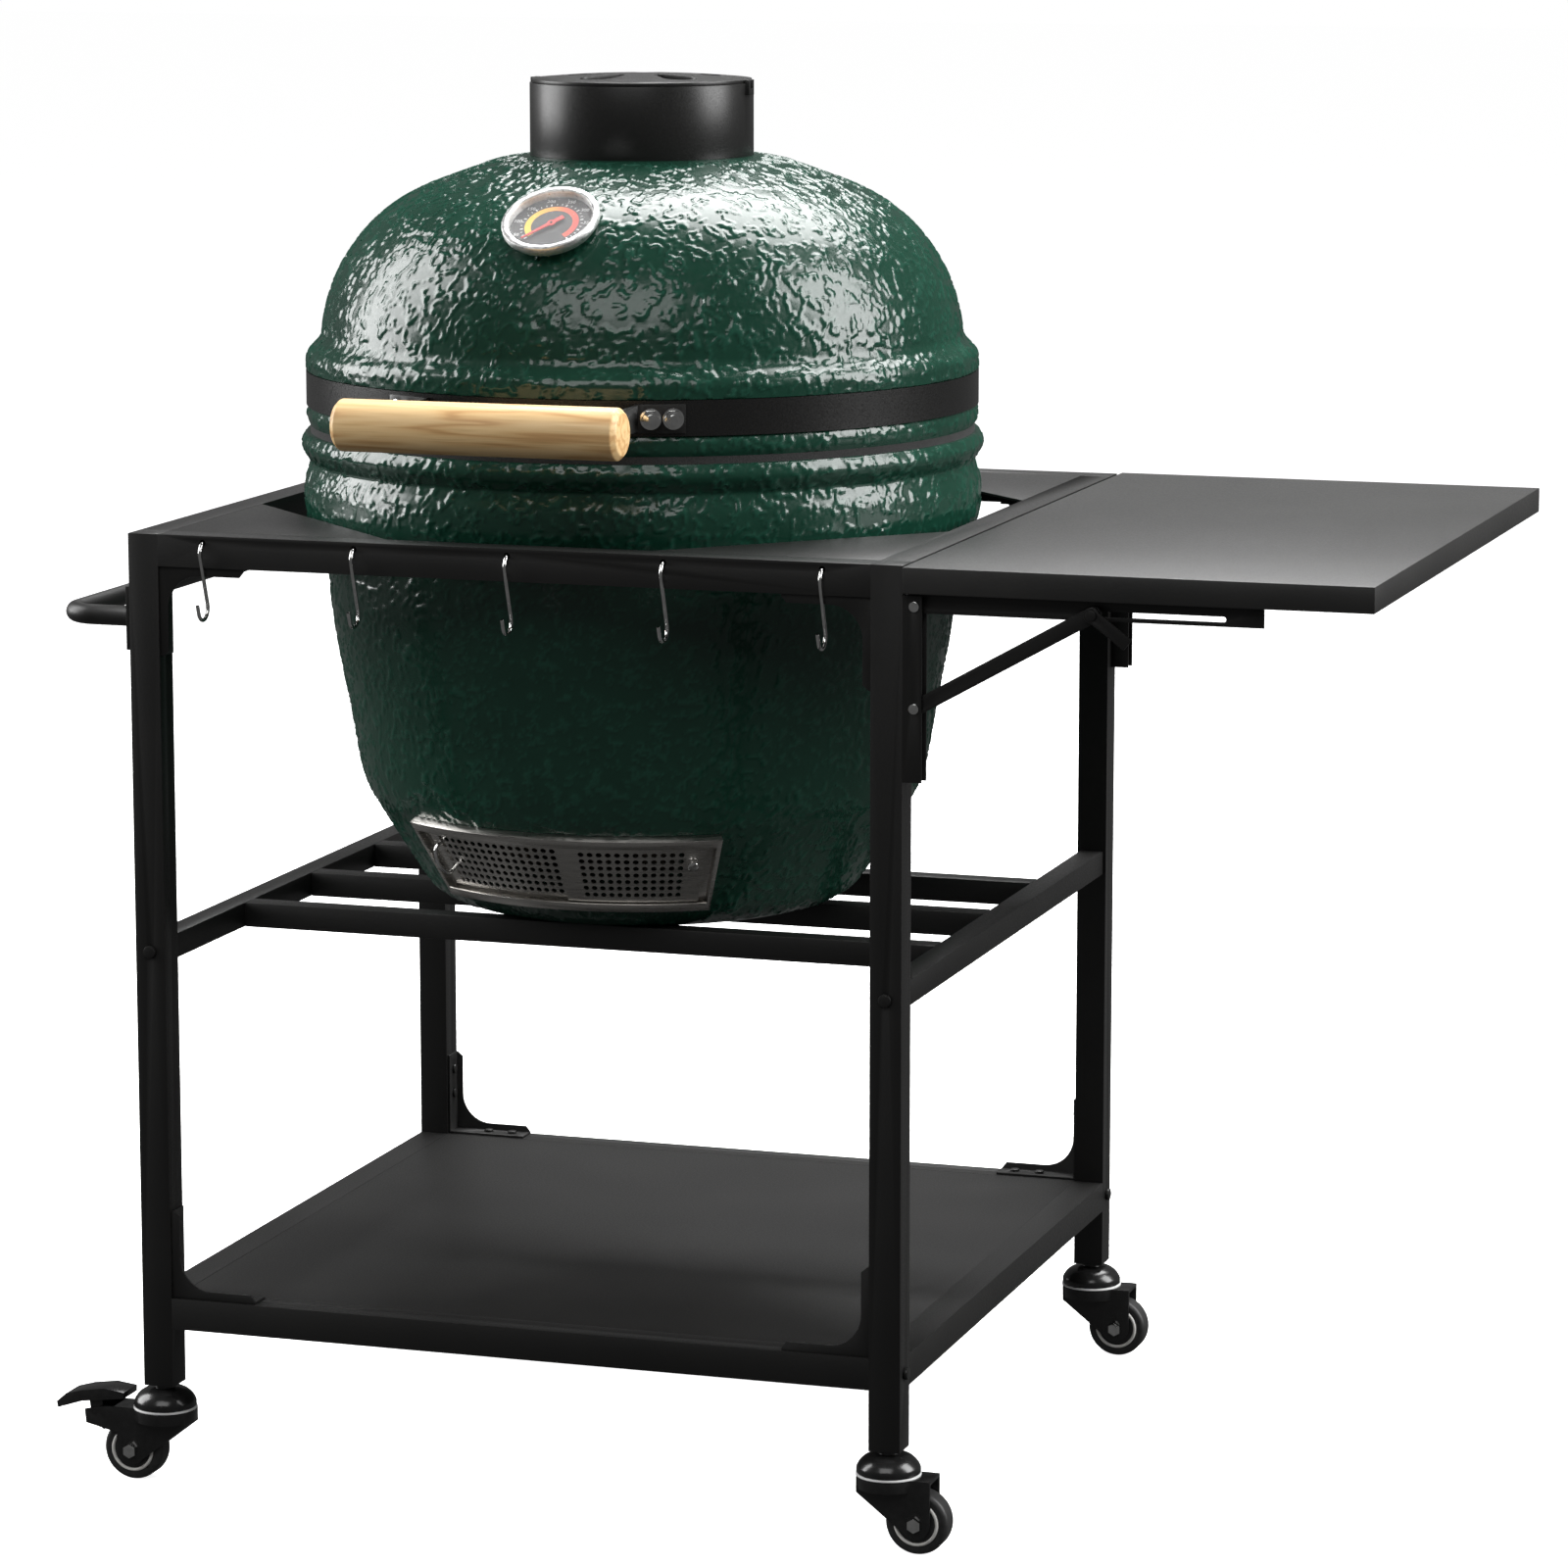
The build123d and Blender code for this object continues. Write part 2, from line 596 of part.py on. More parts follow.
def push_handle():
    face = -HALF_W - PUSH_PLATE_THICKNESS
    grip = -HALF_W - PUSH_REACH
    points = [
        (face, -LEG_Y, PUSH_HEIGHT),
        (grip, -LEG_Y, PUSH_HEIGHT),
        (grip, LEG_Y, PUSH_HEIGHT),
        (face, LEG_Y, PUSH_HEIGHT),
    ]
    outer = bent_wire(points, PUSH_CORNER_RADIUS, PUSH_TUBE_RADIUS)
    inner = bent_wire(points, PUSH_CORNER_RADIUS, PUSH_TUBE_RADIUS - PUSH_TUBE_WALL)
    tube = outer - inner
    height = (PUSH_HEIGHT - PUSH_PLATE_HEIGHT / 2, PUSH_HEIGHT + PUSH_PLATE_HEIGHT / 2)
    plate = block((face, -HALF_W), (-HALF_D, -INNER_Y), height)
    holes = screw_holes(push_plate_screw_places(), SCREW_RADIUS, SCREW_LENGTH)
    plates = [p - holes for p in front_and_rear(plate)]
    return solids_of([tube + plates])


def hook_wire(centre):
    """Upright S-hook in the Y-Z plane: over the edge of its hole, down, then forward and up."""
    y_in = centre.Y + HOOK_TOP_RADIUS
    y_out = centre.Y - HOOK_TOP_RADIUS
    y_tip = y_out - HOOK_MOUTH
    bottom = centre.Z - HOOK_DROP
    points = [
        (centre.X, y_in, centre.Z - HOOK_TAIL),
        (centre.X, y_in, centre.Z),
        (centre.X, y_out, centre.Z),
        (centre.X, y_out, bottom),
        (centre.X, y_tip, bottom),
        (centre.X, y_tip, bottom + HOOK_TIP),
    ]
    return bent_wire(points, HOOK_TOP_RADIUS - 0.1, HOOK_WIRE_RADIUS).solid()


def hook_lean():
    """Degrees that an upright hook turns in its hole until its weight hangs straight below."""
    middle = hook_wire(Vector(0, 0, 0)).center(CenterOf.MASS)
    return degrees(atan2(-middle.Y, -middle.Z))


def hook(centre):
    return hook_wire(centre).rotate(Axis(centre, (1, 0, 0)), hook_lean())


# ---------------------------------------------------------------- folding side table
def side_table_top():
    x = (HALF_W + TABLE_GAP, TABLE_RIGHT)
    y = (-TABLE_HALF_DEPTH, TABLE_HALF_DEPTH)
    low = TOP_HEIGHT - TABLE_SKIRT
    slab = block(x, y, (low, TOP_HEIGHT))
    hollow = block(
        (x[0] + SHEET, x[1] - SHEET),
        (y[0] + SHEET, y[1] - SHEET),
        (low + SHEET, TOP_HEIGHT - SHEET),
    )
    mouth = block(
        (x[0] + TABLE_RETURN, x[1] - TABLE_RETURN),
        (y[0] + TABLE_RETURN, y[1] - TABLE_RETURN),
        (low - 1, low + SHEET + 1),
    )
    return solids_of([slab - hollow - mouth])


def slotted_arms():
    top = TOP_HEIGHT - TABLE_SKIRT
    y = (ARM_FRONT, ARM_FRONT + ARM_SHEET)
    bar = block((FOLD_X, FOLD_X + ARM_LENGTH), y, (top - ARM_HEIGHT, top))
    nose = rod((FOLD_X, y[0], FOLD_Z), (FOLD_X, y[1], FOLD_Z), ARM_NOSE_RADIUS)
    flange = block(
        (FOLD_X + ARM_FLANGE_START, FOLD_X + ARM_LENGTH),
        (y[0], y[0] + ARM_FLANGE_WIDTH),
        (top - ARM_SHEET, top),
    )
    slot_radius = SLOT_PIN_RADIUS + RUNNING_FIT
    first = FOLD_X + STRUT_SPAN - SLOT_END_MARGIN
    last = FOLD_X + STRUT_SPAN + PIN_TRAVEL + SLOT_END_MARGIN
    slot = block((first, last), (y[0] - 1, y[1] + 1), (FOLD_Z - slot_radius, FOLD_Z + slot_radius))
    for x in (first, last):
        slot += rod((x, y[0] - 1, FOLD_Z), (x, y[1] + 1, FOLD_Z), slot_radius)
    hole = rod((FOLD_X, y[0] - 1, FOLD_Z), (FOLD_X, y[1] + 1, FOLD_Z), PIVOT_RADIUS + RUNNING_FIT)
    return solids_of(front_and_rear(bar + nose + flange - slot - hole))


def bracket_channels():
    x = (HALF_W, HALF_W + CHANNEL_WIDTH)
    y = (CHANNEL_FRONT, CHANNEL_FRONT + CHANNEL_DEPTH)
    z = (STRUT_Z - CHANNEL_TAIL, FOLD_Z + CHANNEL_TOP_RISE)
    inside = block((x[0] + SHEET, x[1] + 1), (y[0] + SHEET, y[1] - SHEET), (z[0] - 1, z[1] + 1))
    channel = block(x, y, z) - inside
    radius = PIVOT_RADIUS + RUNNING_FIT
    channel -= rod((FOLD_X, y[0] - 1, FOLD_Z), (FOLD_X, y[1] + 1, FOLD_Z), radius)
    channel -= rod((FOLD_X, y[0] - 1, STRUT_Z), (FOLD_X, y[0] + SHEET + 1, STRUT_Z), radius)
    return solids_of(front_and_rear(channel))


def bracket_rivets():
    """Upper rivets cross the whole channel; lower ones stop short of the folded arm."""
    back = CHANNEL_FRONT + CHANNEL_DEPTH
    pieces = []
    for z, end in ((FOLD_Z, back), (STRUT_Z, STRUT_FRONT + STRUT_SHEET + RIVET_END)):
        rivet = rod((FOLD_X, CHANNEL_FRONT, z), (FOLD_X, end, z), PIVOT_RADIUS)
        head = (FOLD_X, CHANNEL_FRONT - PIVOT_HEAD_HEIGHT, z)
        rivet += rod(head, (FOLD_X, CHANNEL_FRONT, z), PIVOT_HEAD_RADIUS)
        if end == back:
            tail = (FOLD_X, back + PIVOT_HEAD_HEIGHT, z)
            rivet += rod((FOLD_X, back, z), tail, PIVOT_HEAD_RADIUS)
        pieces += front_and_rear(rivet)
    return solids_of(pieces)


LEVER_BACK = -HALF_D - LEVER_CLEARANCE
LEVER_FRONT = LEVER_BACK - LEVER_SHEET


def support_struts():
    """Each strut turns about its lower rivet; its stub at the top end carries the lever."""
    y = (STRUT_FRONT, STRUT_FRONT + STRUT_SHEET)
    flat = block((0, STRUT_LENGTH), y, (-STRUT_WIDTH / 2, STRUT_WIDTH / 2))
    for x in (0, STRUT_LENGTH):
        flat += rod((x, y[0], 0), (x, y[1], 0), STRUT_WIDTH / 2)
    flat -= rod((0, y[0] - 1, 0), (0, y[1] + 1, 0), PIVOT_RADIUS + RUNNING_FIT)
    flat += rod((STRUT_LENGTH, y[0], 0), (STRUT_LENGTH, LEVER_FRONT - SLIP_GAP, 0), PIVOT_RADIUS)
    head = LEVER_FRONT - SLIP_GAP - PIVOT_HEAD_HEIGHT
    flat += rod((STRUT_LENGTH, LEVER_FRONT - SLIP_GAP, 0), (STRUT_LENGTH, head, 0), PIVOT_HEAD_RADIUS)
    strut = Pos(FOLD_X, 0, STRUT_Z) * Rot(0, -STRUT_ANGLE, 0) * flat
    return solids_of(front_and_rear(strut))


def slot_pins():
    x = FOLD_X + STRUT_SPAN
    front = ARM_FRONT - 0.2
    back = ARM_FRONT + ARM_SHEET + 0.2
    pin = rod((x, front, FOLD_Z), (x, back + 3, FOLD_Z), SLOT_PIN_RADIUS)
    pin += rod((x, back, FOLD_Z), (x, back + 1.5, FOLD_Z), PIVOT_HEAD_RADIUS)
    return solids_of(front_and_rear(pin))


def release_lever():
    x, z = FOLD_X + STRUT_SPAN, FOLD_Z
    y = (LEVER_FRONT, LEVER_BACK)
    blade = block((0, LEVER_LENGTH), y, (-LEVER_WIDTH / 2, LEVER_WIDTH / 2))
    blade += rod((0, y[0], 0), (0, y[1], 0), LEVER_WIDTH / 2 + 1)
    blade -= rod((0, y[0] - 1, 0), (0, y[1] + 1, 0), PIVOT_RADIUS + RUNNING_FIT)
    return Pos(x, 0, z) * Rot(0, LEVER_DROOP, 0) * blade


# ---------------------------------------------------------------- casters
def caster_stems():
    """Plug in the leg's foot, stem and domed head, all one turned piece."""
    low = CASTER_HEAD_TOP - CASTER_HEAD_HEIGHT
    shank = DRUM_TOP - DRUM_HEIGHT
    mid = CASTER_HEAD_RADIUS * cos(radians(40))
    outline = [
        Line((0, shank), (CASTER_STEM_RADIUS, shank)),
        Line((CASTER_STEM_RADIUS, shank), (CASTER_STEM_RADIUS, low)),
        Line((CASTER_STEM_RADIUS, low), (CASTER_HEAD_RADIUS, low)),
        Line((CASTER_HEAD_RADIUS, low), (CASTER_HEAD_RADIUS, low + 4)),
        ThreePointArc(
            (CASTER_HEAD_RADIUS, low + 4),
            (mid, low + 4 + (CASTER_HEAD_HEIGHT - 4) * 0.72),
            (AXLE_RADIUS * 2, CASTER_HEAD_TOP),
        ),
        Line((AXLE_RADIUS * 2, CASTER_HEAD_TOP), (AXLE_RADIUS * 2, LEG_FOOT_HEIGHT)),
        Line((AXLE_RADIUS * 2, LEG_FOOT_HEIGHT), (0, LEG_FOOT_HEIGHT)),
        Line((0, LEG_FOOT_HEIGHT), (0, shank)),
    ]
    stem = revolve(Plane.XZ * make_face(outline), Axis.Z)
    half = TUBE / 2 - TUBE_WALL - 0.1
    plug = block((-half, half), (-half, half), (LEG_FOOT_HEIGHT, LEG_FOOT_HEIGHT + CASTER_PLUG_HEIGHT))
    return solids_of(four_corners(Pos(LEG_X, -LEG_Y, 0) * (stem + plug)))


def fork_outline(braked):
    """Side plate of the fork; u runs along the trail from the swivel axis."""
    foot = 12.0
    u, z = CASTER_TRAIL, WHEEL_RADIUS
    low = DRUM_TOP - DRUM_HEIGHT
    heel = (-CASTER_HEAD_RADIUS + 3, low - 3)
    left = (u - foot * cos(radians(35)), z - foot * sin(radians(35)))
    if braked:
        p, h = PEDAL_PIVOT_REACH, PEDAL_PIVOT_HEIGHT
        nose = [(u + foot, h - 15), (p + 8, h - 9), (p + 9, h + 2), (u + 20, DRUM_TOP)]
    else:
        nose = [(u + foot, DRUM_TOP)]
    points = [left, heel, (-CASTER_HEAD_RADIUS + 3, DRUM_TOP), *reversed(nose), (u + foot, z)]
    return [Polyline(*points), ThreePointArc((u + foot, z), (u, z - foot), left)]


def fork(braked):
    """Fork, race ring and axle bolt at the swivel axis, trailing towards +X."""
    half = WHEEL_WIDTH / 2 + FORK_SIDE_GAP
    side = half + FORK_SHEET
    u, z = CASTER_TRAIL, WHEEL_RADIUS
    low = DRUM_TOP - DRUM_HEIGHT
    body = plate_xz(fork_outline(braked), (-side, side))
    body += rod((0, 0, low), (0, 0, DRUM_TOP), CASTER_HEAD_RADIUS)
    room = WHEEL_RADIUS + 2
    top = DRUM_TOP - FORK_SHEET
    body -= rod((u, -half, z), (u, half, z), room)
    body -= block((u, u + 60), (-half, half), (0, top))
    body -= block((u - 14, u), (-half, half), (0, z))
    if braked:
        body -= block((u + 15, u + 60), (-half, half), (0, DRUM_TOP + 1))
        body -= pedal_pin_hole(side)
    body -= rod((0, 0, low - 10), (0, 0, DRUM_TOP + 1), CASTER_STEM_RADIUS + RUNNING_FIT)
    body -= rod((u, -side - 1, z), (u, side + 1, z), AXLE_RADIUS + RUNNING_FIT)
    race = rod((0, 0, DRUM_TOP), (0, 0, RACE_TOP), RACE_RING_RADIUS)
    race -= rod((0, 0, DRUM_TOP - 1), (0, 0, RACE_TOP + 1), CASTER_STEM_RADIUS + 8)
    axle = rod((u, -side, z), (u, side, z), AXLE_RADIUS)
    for sign in (-1, 1):
        hexagon = Plane((u, sign * side, z), z_dir=(0, sign, 0)) * RegularPolygon(AXLE_HEAD_RADIUS, 6)
        axle += extrude(hexagon, AXLE_HEAD_HEIGHT)
    return [body, race, axle]


def pedal_pin_hole(side):
    place = (PEDAL_PIVOT_REACH, -side - 1, PEDAL_PIVOT_HEIGHT)
    return rod(place, (place[0], side + 1, place[2]), PEDAL_PIN_RADIUS + RUNNING_FIT)


def wheel():
    """Tyre and core turned about the axle."""
    u, z, half = CASTER_TRAIL, WHEEL_RADIUS, WHEEL_WIDTH / 2
    tyre = rod((u, -half, z), (u, half, z), WHEEL_RADIUS)
    tyre = fillet(tyre.edges().filter_by(GeomType.CIRCLE), 4.0)
    tyre -= rod((u, -half - 1, z), (u, half + 1, z), WHEEL_CORE_RADIUS)
    core = rod((u, -half, z), (u, half, z), WHEEL_CORE_RADIUS)
    core -= rod((u, -half - 1, z), (u, half + 1, z), AXLE_RADIUS + RUNNING_FIT)
    return [tyre, core]


def brake_pedal():
    """Foot pedal with its pin, brake tooth and wide tread, at a braked fork's swivel axis."""
    p, h = PEDAL_PIVOT_REACH, PEDAL_PIVOT_HEIGHT
    half = WHEEL_WIDTH / 2
    side = half + FORK_SIDE_GAP + FORK_SHEET
    web = [(p - 5, h + 14), (p - 5, h - 8), (p - 5.5, h - 15), (p + 5, h - 4), (p + 7, h + 14)]
    pedal = plate_xz(Polyline(*web, close=True), (-half, half))
    tip = PEDAL_TIP_REACH
    tread = [
        (p - 25, h + 13), (p - 25, h + 18), (p - 8, h + 20), (p + 12, h + 17),
        (tip - 8, h + 13), (tip, h + 6), (tip - 1, h + 1), (p + 12, h + 8),
    ]
    pedal += plate_xz(Polyline(*tread, close=True), (-half - 3, half + 3))
    pedal += rod((p, -side, h), (p, side, h), PEDAL_PIN_RADIUS)
    return pedal


def at_corner(pieces, right, front):
    """Place pieces made at the swivel axis under one leg, trailing outwards."""
    moved = []
    for piece in pieces:
        if not right:
            piece = mirror(piece, about=Plane.YZ)
        moved.append(Pos(LEG_X if right else -LEG_X, -LEG_Y if front else LEG_Y, 0) * piece)
    return solids_of(moved)


# ---------------------------------------------------------------- ceramic body
def seat(point):
    """(radius, height above the grill seat) to (radius, height above the floor)."""
    return (point[0], GRILL_SEAT_HEIGHT + point[1])


def on_lid(point):
    return (point[0], LID_EDGE + point[1])


def cone_axes():
    """Low point, unit vector up the cone and outward unit normal, all in (radius, height)."""
    low, high = Vector(*seat(CONE_LOW)), Vector(*seat(CONE_HIGH))
    up = (high - low).normalized()
    return low, up, Vector(up.Y, -up.X)


def on_cone(s, d):
    """(radius, height) at s up the cone and d above its surface."""
    low, up, out = cone_axes()
    point = low + up * s + out * d
    return (point.X, point.Y)


CONE_LENGTH = hypot(CONE_HIGH[0] - CONE_LOW[0], CONE_HIGH[1] - CONE_LOW[1])


def cone_panel(corners, span):
    """(s, d) outline turned about the axis between two angles from the front."""
    outline = Polyline(*(on_cone(*c) for c in corners), close=True)
    return turned(outline, span[0], span[1] - span[0])


def cone_rectangle(s, d):
    return [(s[0], d[0]), (s[1], d[0]), (s[1], d[1]), (s[0], d[1])]


def ceramic_base():
    foot = (BASE_FOOT_RADIUS, GRILL_SEAT_HEIGHT)
    low, high = seat(CONE_LOW), seat(CONE_HIGH)
    up = cone_axes()[1]
    bowl = [seat(p) for p in BASE_BOWL]
    shoulder = seat(BASE_SHOULDER)
    bulge = [seat(p) for p in BASE_RING]
    groove = seat(BASE_GROOVE)
    lip = [seat(p) for p in BASE_LIP]
    inner_low = on_cone(0, -BASE_WALL)
    inner_high = on_cone(CONE_LENGTH, -BASE_WALL)
    inner_bowl = [(r - BASE_WALL, z) for r, z in bowl]
    ledge = shoulder[1]
    floor = FIREBOX_FLOOR
    outline = [
        Line((0, GRILL_SEAT_HEIGHT), foot),
        Spline(foot, low, tangents=[(1, 0.25), (up.X, up.Y)]),
        Line(low, high),
        Spline(high, *bowl, shoulder, tangents=[(up.X, up.Y), (0.0, 1.0)]),
        Spline(shoulder, *bulge, groove, tangents=[(1.0, 0.35), (-0.2, 1.0)]),
        Spline(groove, *lip, tangents=[(0.6, 1.0), (-0.6, 1.0)]),
        Line(lip[-1], (BASE_RING_INNER_RADIUS, BASE_RIM_HEIGHT)),
        Line((BASE_RING_INNER_RADIUS, BASE_RIM_HEIGHT), (BASE_RING_INNER_RADIUS, ledge)),
        Line((BASE_RING_INNER_RADIUS, ledge), inner_bowl[-1]),
        Spline(*reversed(inner_bowl), inner_high, tangents=[(-0.05, -1.0), (-up.X, -up.Y)]),
        Line(inner_high, inner_low),
        Line(inner_low, (inner_low[0] - BASE_WALL, floor)),
        Line((inner_low[0] - BASE_WALL, floor), (0, floor)),
        Line((0, floor), (0, GRILL_SEAT_HEIGHT)),
    ]
    body = turned(outline)
    port = cone_rectangle(
        (BASE_PORT_MARGIN, CONE_LENGTH - BASE_PORT_MARGIN), (-BASE_WALL - 12, 2)
    )
    return solids_of([body - cone_panel(port, (-BASE_PORT_HALF_ANGLE, BASE_PORT_HALF_ANGLE))])


def draft_frame():
    """Stainless track screwed to the cone, with its four screws."""
    top = CONE_LENGTH
    sheet, lip, depth, gap = DRAFT_SHEET, DRAFT_LIP, DRAFT_DEPTH, SLIP_GAP
    low, high = sheet, top - sheet
    channel = [
        (0, gap), (top, gap), (top, depth), (top - lip, depth), (top - lip, depth - sheet),
        (high, depth - sheet), (high, gap + sheet), (low, gap + sheet),
        (low, depth - sheet), (lip, depth - sheet), (lip, depth), (0, depth),
    ]
    body = cone_panel(channel, (DRAFT_LEFT, DRAFT_RIGHT))
    window = cone_rectangle((DRAFT_WINDOW_MARGIN, top - DRAFT_WINDOW_MARGIN), (0, gap + sheet + 0.1))
    body -= cone_panel(window, DRAFT_WINDOW)
    end = cone_rectangle((0, top), (gap, depth))
    body += cone_panel(end, (DRAFT_LEFT - DRAFT_END_WIDTH, DRAFT_LEFT))
    body += cone_panel(end, (DRAFT_RIGHT, DRAFT_RIGHT + DRAFT_END_WIDTH))
    return solids_of([body])


def door(span, track):
    edge = DRAFT_SHEET + DOOR_TRACK_GAP
    s = (edge, CONE_LENGTH - edge)
    return cone_panel(cone_rectangle(s, (track, track + DOOR_SHEET)), span)


def cone_point(angle, s, d):
    return radial(angle, *on_cone(s, d))


def screen_door():
    """Inner sliding screen with its bent wire handle."""
    panel = door(SCREEN_SPAN, SCREEN_TRACK)
    outside = SCREEN_TRACK + DOOR_SHEET
    middle = CONE_LENGTH / 2 + 6
    ends = (middle - SCREEN_HANDLE_LENGTH / 2, middle + SCREEN_HANDLE_LENGTH / 2)
    reach = outside + SCREEN_HANDLE_REACH
    root = outside - DOOR_SHEET / 2
    places = [(ends[0], root), (ends[0], reach), (ends[1], reach), (ends[1], root)]
    points = [cone_point(SCREEN_HANDLE_ANGLE, s, d) for s, d in places]
    return solids_of([panel + bent_wire(points, 4.0, SCREEN_HANDLE_WIRE)])


def front_door():
    """Outer sliding door with a small knob."""
    panel = door(FRONT_DOOR_SPAN, FRONT_TRACK)
    s = CONE_LENGTH * 0.66
    root = FRONT_TRACK + DOOR_SHEET / 2
    tip = FRONT_TRACK + DOOR_SHEET + DOOR_KNOB_REACH
    knob = rod(cone_point(DOOR_KNOB_ANGLE, s, root), cone_point(DOOR_KNOB_ANGLE, s, tip), DOOR_KNOB_RADIUS)
    return solids_of([panel + knob])


def firebox_radius(rise):
    """Inner radius of the fire box at a height above its foot."""
    share = rise / FIREBOX_HEIGHT
    return FIREBOX_FOOT_RADIUS + share * (FIREBOX_TOP_RADIUS - FIREBOX_FOOT_RADIUS) - FIREBOX_WALL


def fire_box():
    z0, z1 = FIREBOX_FLOOR, FIRE_RING_FLOOR
    outline = Polyline(
        (0, z0), (FIREBOX_FOOT_RADIUS, z0), (FIREBOX_TOP_RADIUS, z1),
        (FIREBOX_TOP_RADIUS - FIREBOX_WALL, z1),
        (firebox_radius(FIREBOX_WALL), z0 + FIREBOX_WALL), (0, z0 + FIREBOX_WALL), close=True,
    )
    pot = turned(outline)
    half = FIREBOX_DOOR_WIDTH / 2
    mouth_z = (z0 + FIREBOX_WALL, z0 + FIREBOX_WALL + FIREBOX_DOOR_HEIGHT)
    return solids_of([pot - block((-half, half), (-FIREBOX_TOP_RADIUS, 0), mouth_z)])


def fire_ring():
    z = (FIRE_RING_FLOOR, COOKING_GRATE_FLOOR)
    return solids_of([ring(FIRE_RING_INNER, FIRE_RING_OUTER, z)])


def charcoal_grate():
    low = FIREBOX_FLOOR + CHARCOAL_GRATE_RISE
    radius = firebox_radius(CHARCOAL_GRATE_RISE) - SLIP_GAP
    disk = rod((0, 0, low), (0, 0, low + CHARCOAL_GRATE_THICKNESS), radius)
    holes = []
    for distance, count in CHARCOAL_HOLE_ROWS:
        for i in range(count):
            x, y, _ = radial(360 * i / count, distance, 0)
            top = low + CHARCOAL_GRATE_THICKNESS + 1
            holes.append(rod((x, y, low - 1), (x, y, top), CHARCOAL_HOLE_RADIUS))
    return solids_of([disk - holes])


def cooking_grate():
    low = COOKING_GRATE_FLOOR
    high = low + COOKING_GRATE_HEIGHT
    rim = ring(COOKING_GRATE_RADIUS - COOKING_GRATE_RIM, COOKING_GRATE_RADIUS, (low, high))
    middle = COOKING_GRATE_RADIUS - COOKING_GRATE_RIM / 2
    bars = []
    count = int(middle // COOKING_BAR_PITCH)
    for i in range(-count, count + 1):
        x = i * COOKING_BAR_PITCH
        reach = sqrt(middle**2 - x**2) if abs(x) < middle else 0
        if reach > COOKING_BAR_PITCH:
            half = COOKING_BAR_WIDTH / 2
            bars.append(block((x - half, x + half), (-reach, reach), (low + 1, high)))
    cross = middle / 2
    for y in (-cross, cross):
        reach = sqrt(middle**2 - y**2)
        bars.append(block((-reach, reach), (y - COOKING_BAR_WIDTH, y + COOKING_BAR_WIDTH), (low, low + 3)))
    return solids_of([rim + bars])


def gasket(z):
    return solids_of([ring(GASKET_INNER_RADIUS, GASKET_OUTER_RADIUS, z)])


# ---------------------------------------------------------------- lid
def ceramic_lid():
    seat_low = (BAND_SEAT_RADIUS, BAND_RISE)
    seat_high = (BAND_SEAT_RADIUS, BAND_RISE + BAND_HEIGHT)
    lip = (LID_LIP_RADIUS, seat_high[1])
    crest = (LID_LIP_RADIUS, seat_high[1] + 8.5)
    edge = (BAND_SEAT_RADIUS - 0.5, 0)
    neck = LID_NECK_RADIUS
    inner = list(LID_INNER)
    outline = [
        Line(on_lid((RIM_INNER_RADIUS, 0)), on_lid(edge)),
        ThreePointArc(on_lid(edge), on_lid((LID_LIP_RADIUS, BAND_RISE / 2)), on_lid(seat_low)),
        Line(on_lid(seat_low), on_lid(seat_high)),
        Line(on_lid(seat_high), on_lid(lip)),
        Line(on_lid(lip), on_lid(crest)),
        Spline(on_lid(crest), on_lid((267.0, 61.5)), on_lid(LID_DOME[-1]), tangents=[(0, 1), (-0.25, 1)]),
        Spline(
            *(on_lid(p) for p in reversed(LID_DOME)), on_lid(LID_SHOULDER),
            tangents=[(-0.12, 1.0), (-1.0, 0.12)],
        ),
        Line(on_lid(LID_SHOULDER), on_lid((neck, LID_SHOULDER[1]))),
        Line(on_lid((neck, LID_SHOULDER[1])), on_lid((neck, LID_NECK_HEIGHT))),
        Line(on_lid((neck, LID_NECK_HEIGHT)), on_lid((CHIMNEY_RADIUS, LID_NECK_HEIGHT))),
        Line(on_lid((CHIMNEY_RADIUS, LID_NECK_HEIGHT)), on_lid((CHIMNEY_RADIUS, LID_INNER_END))),
        Spline(
            on_lid((CHIMNEY_RADIUS, LID_INNER_END)), *(on_lid(p) for p in reversed(inner)),
            on_lid(LID_INNER_START), tangents=[(1.0, -0.1), (0.0, -1.0)],
        ),
        Line(on_lid(LID_INNER_START), on_lid((RIM_INNER_RADIUS, 0))),
    ]
    probe = GAUGE_PLANE * Cylinder(PROBE_RADIUS + PROBE_CLEARANCE, 2 * PROBE_LENGTH)
    return solids_of([turned(outline) - probe])


def band_bolt_angles():
    return [side * angle for side in (-1, 1) for angle in BAND_BOLT_ANGLES]


def stud(angle, z, inner, outer):
    """Stud with washer and hexagon nut, pointing outwards from the ceramic."""
    def out(radius):
        return radial(angle, radius, z)

    washer = outer + STUD_WASHER_HEIGHT
    nut = washer + STUD_NUT_HEIGHT
    piece = rod(out(inner), out(nut + STUD_TIP), STUD_RADIUS)
    piece += rod(out(outer), out(washer), STUD_WASHER_RADIUS)
    hexagon = Plane(out(washer), z_dir=out(1) - out(0)) * RegularPolygon(STUD_NUT_RADIUS, 6)
    return piece + extrude(hexagon, STUD_NUT_HEIGHT)


def stud_hole(angle, z, inner, outer):
    return rod(radial(angle, inner, z), radial(angle, outer, z), STUD_RADIUS + RUNNING_FIT)


BAND_MIDDLE = LID_EDGE + BAND_RISE + BAND_HEIGHT / 2


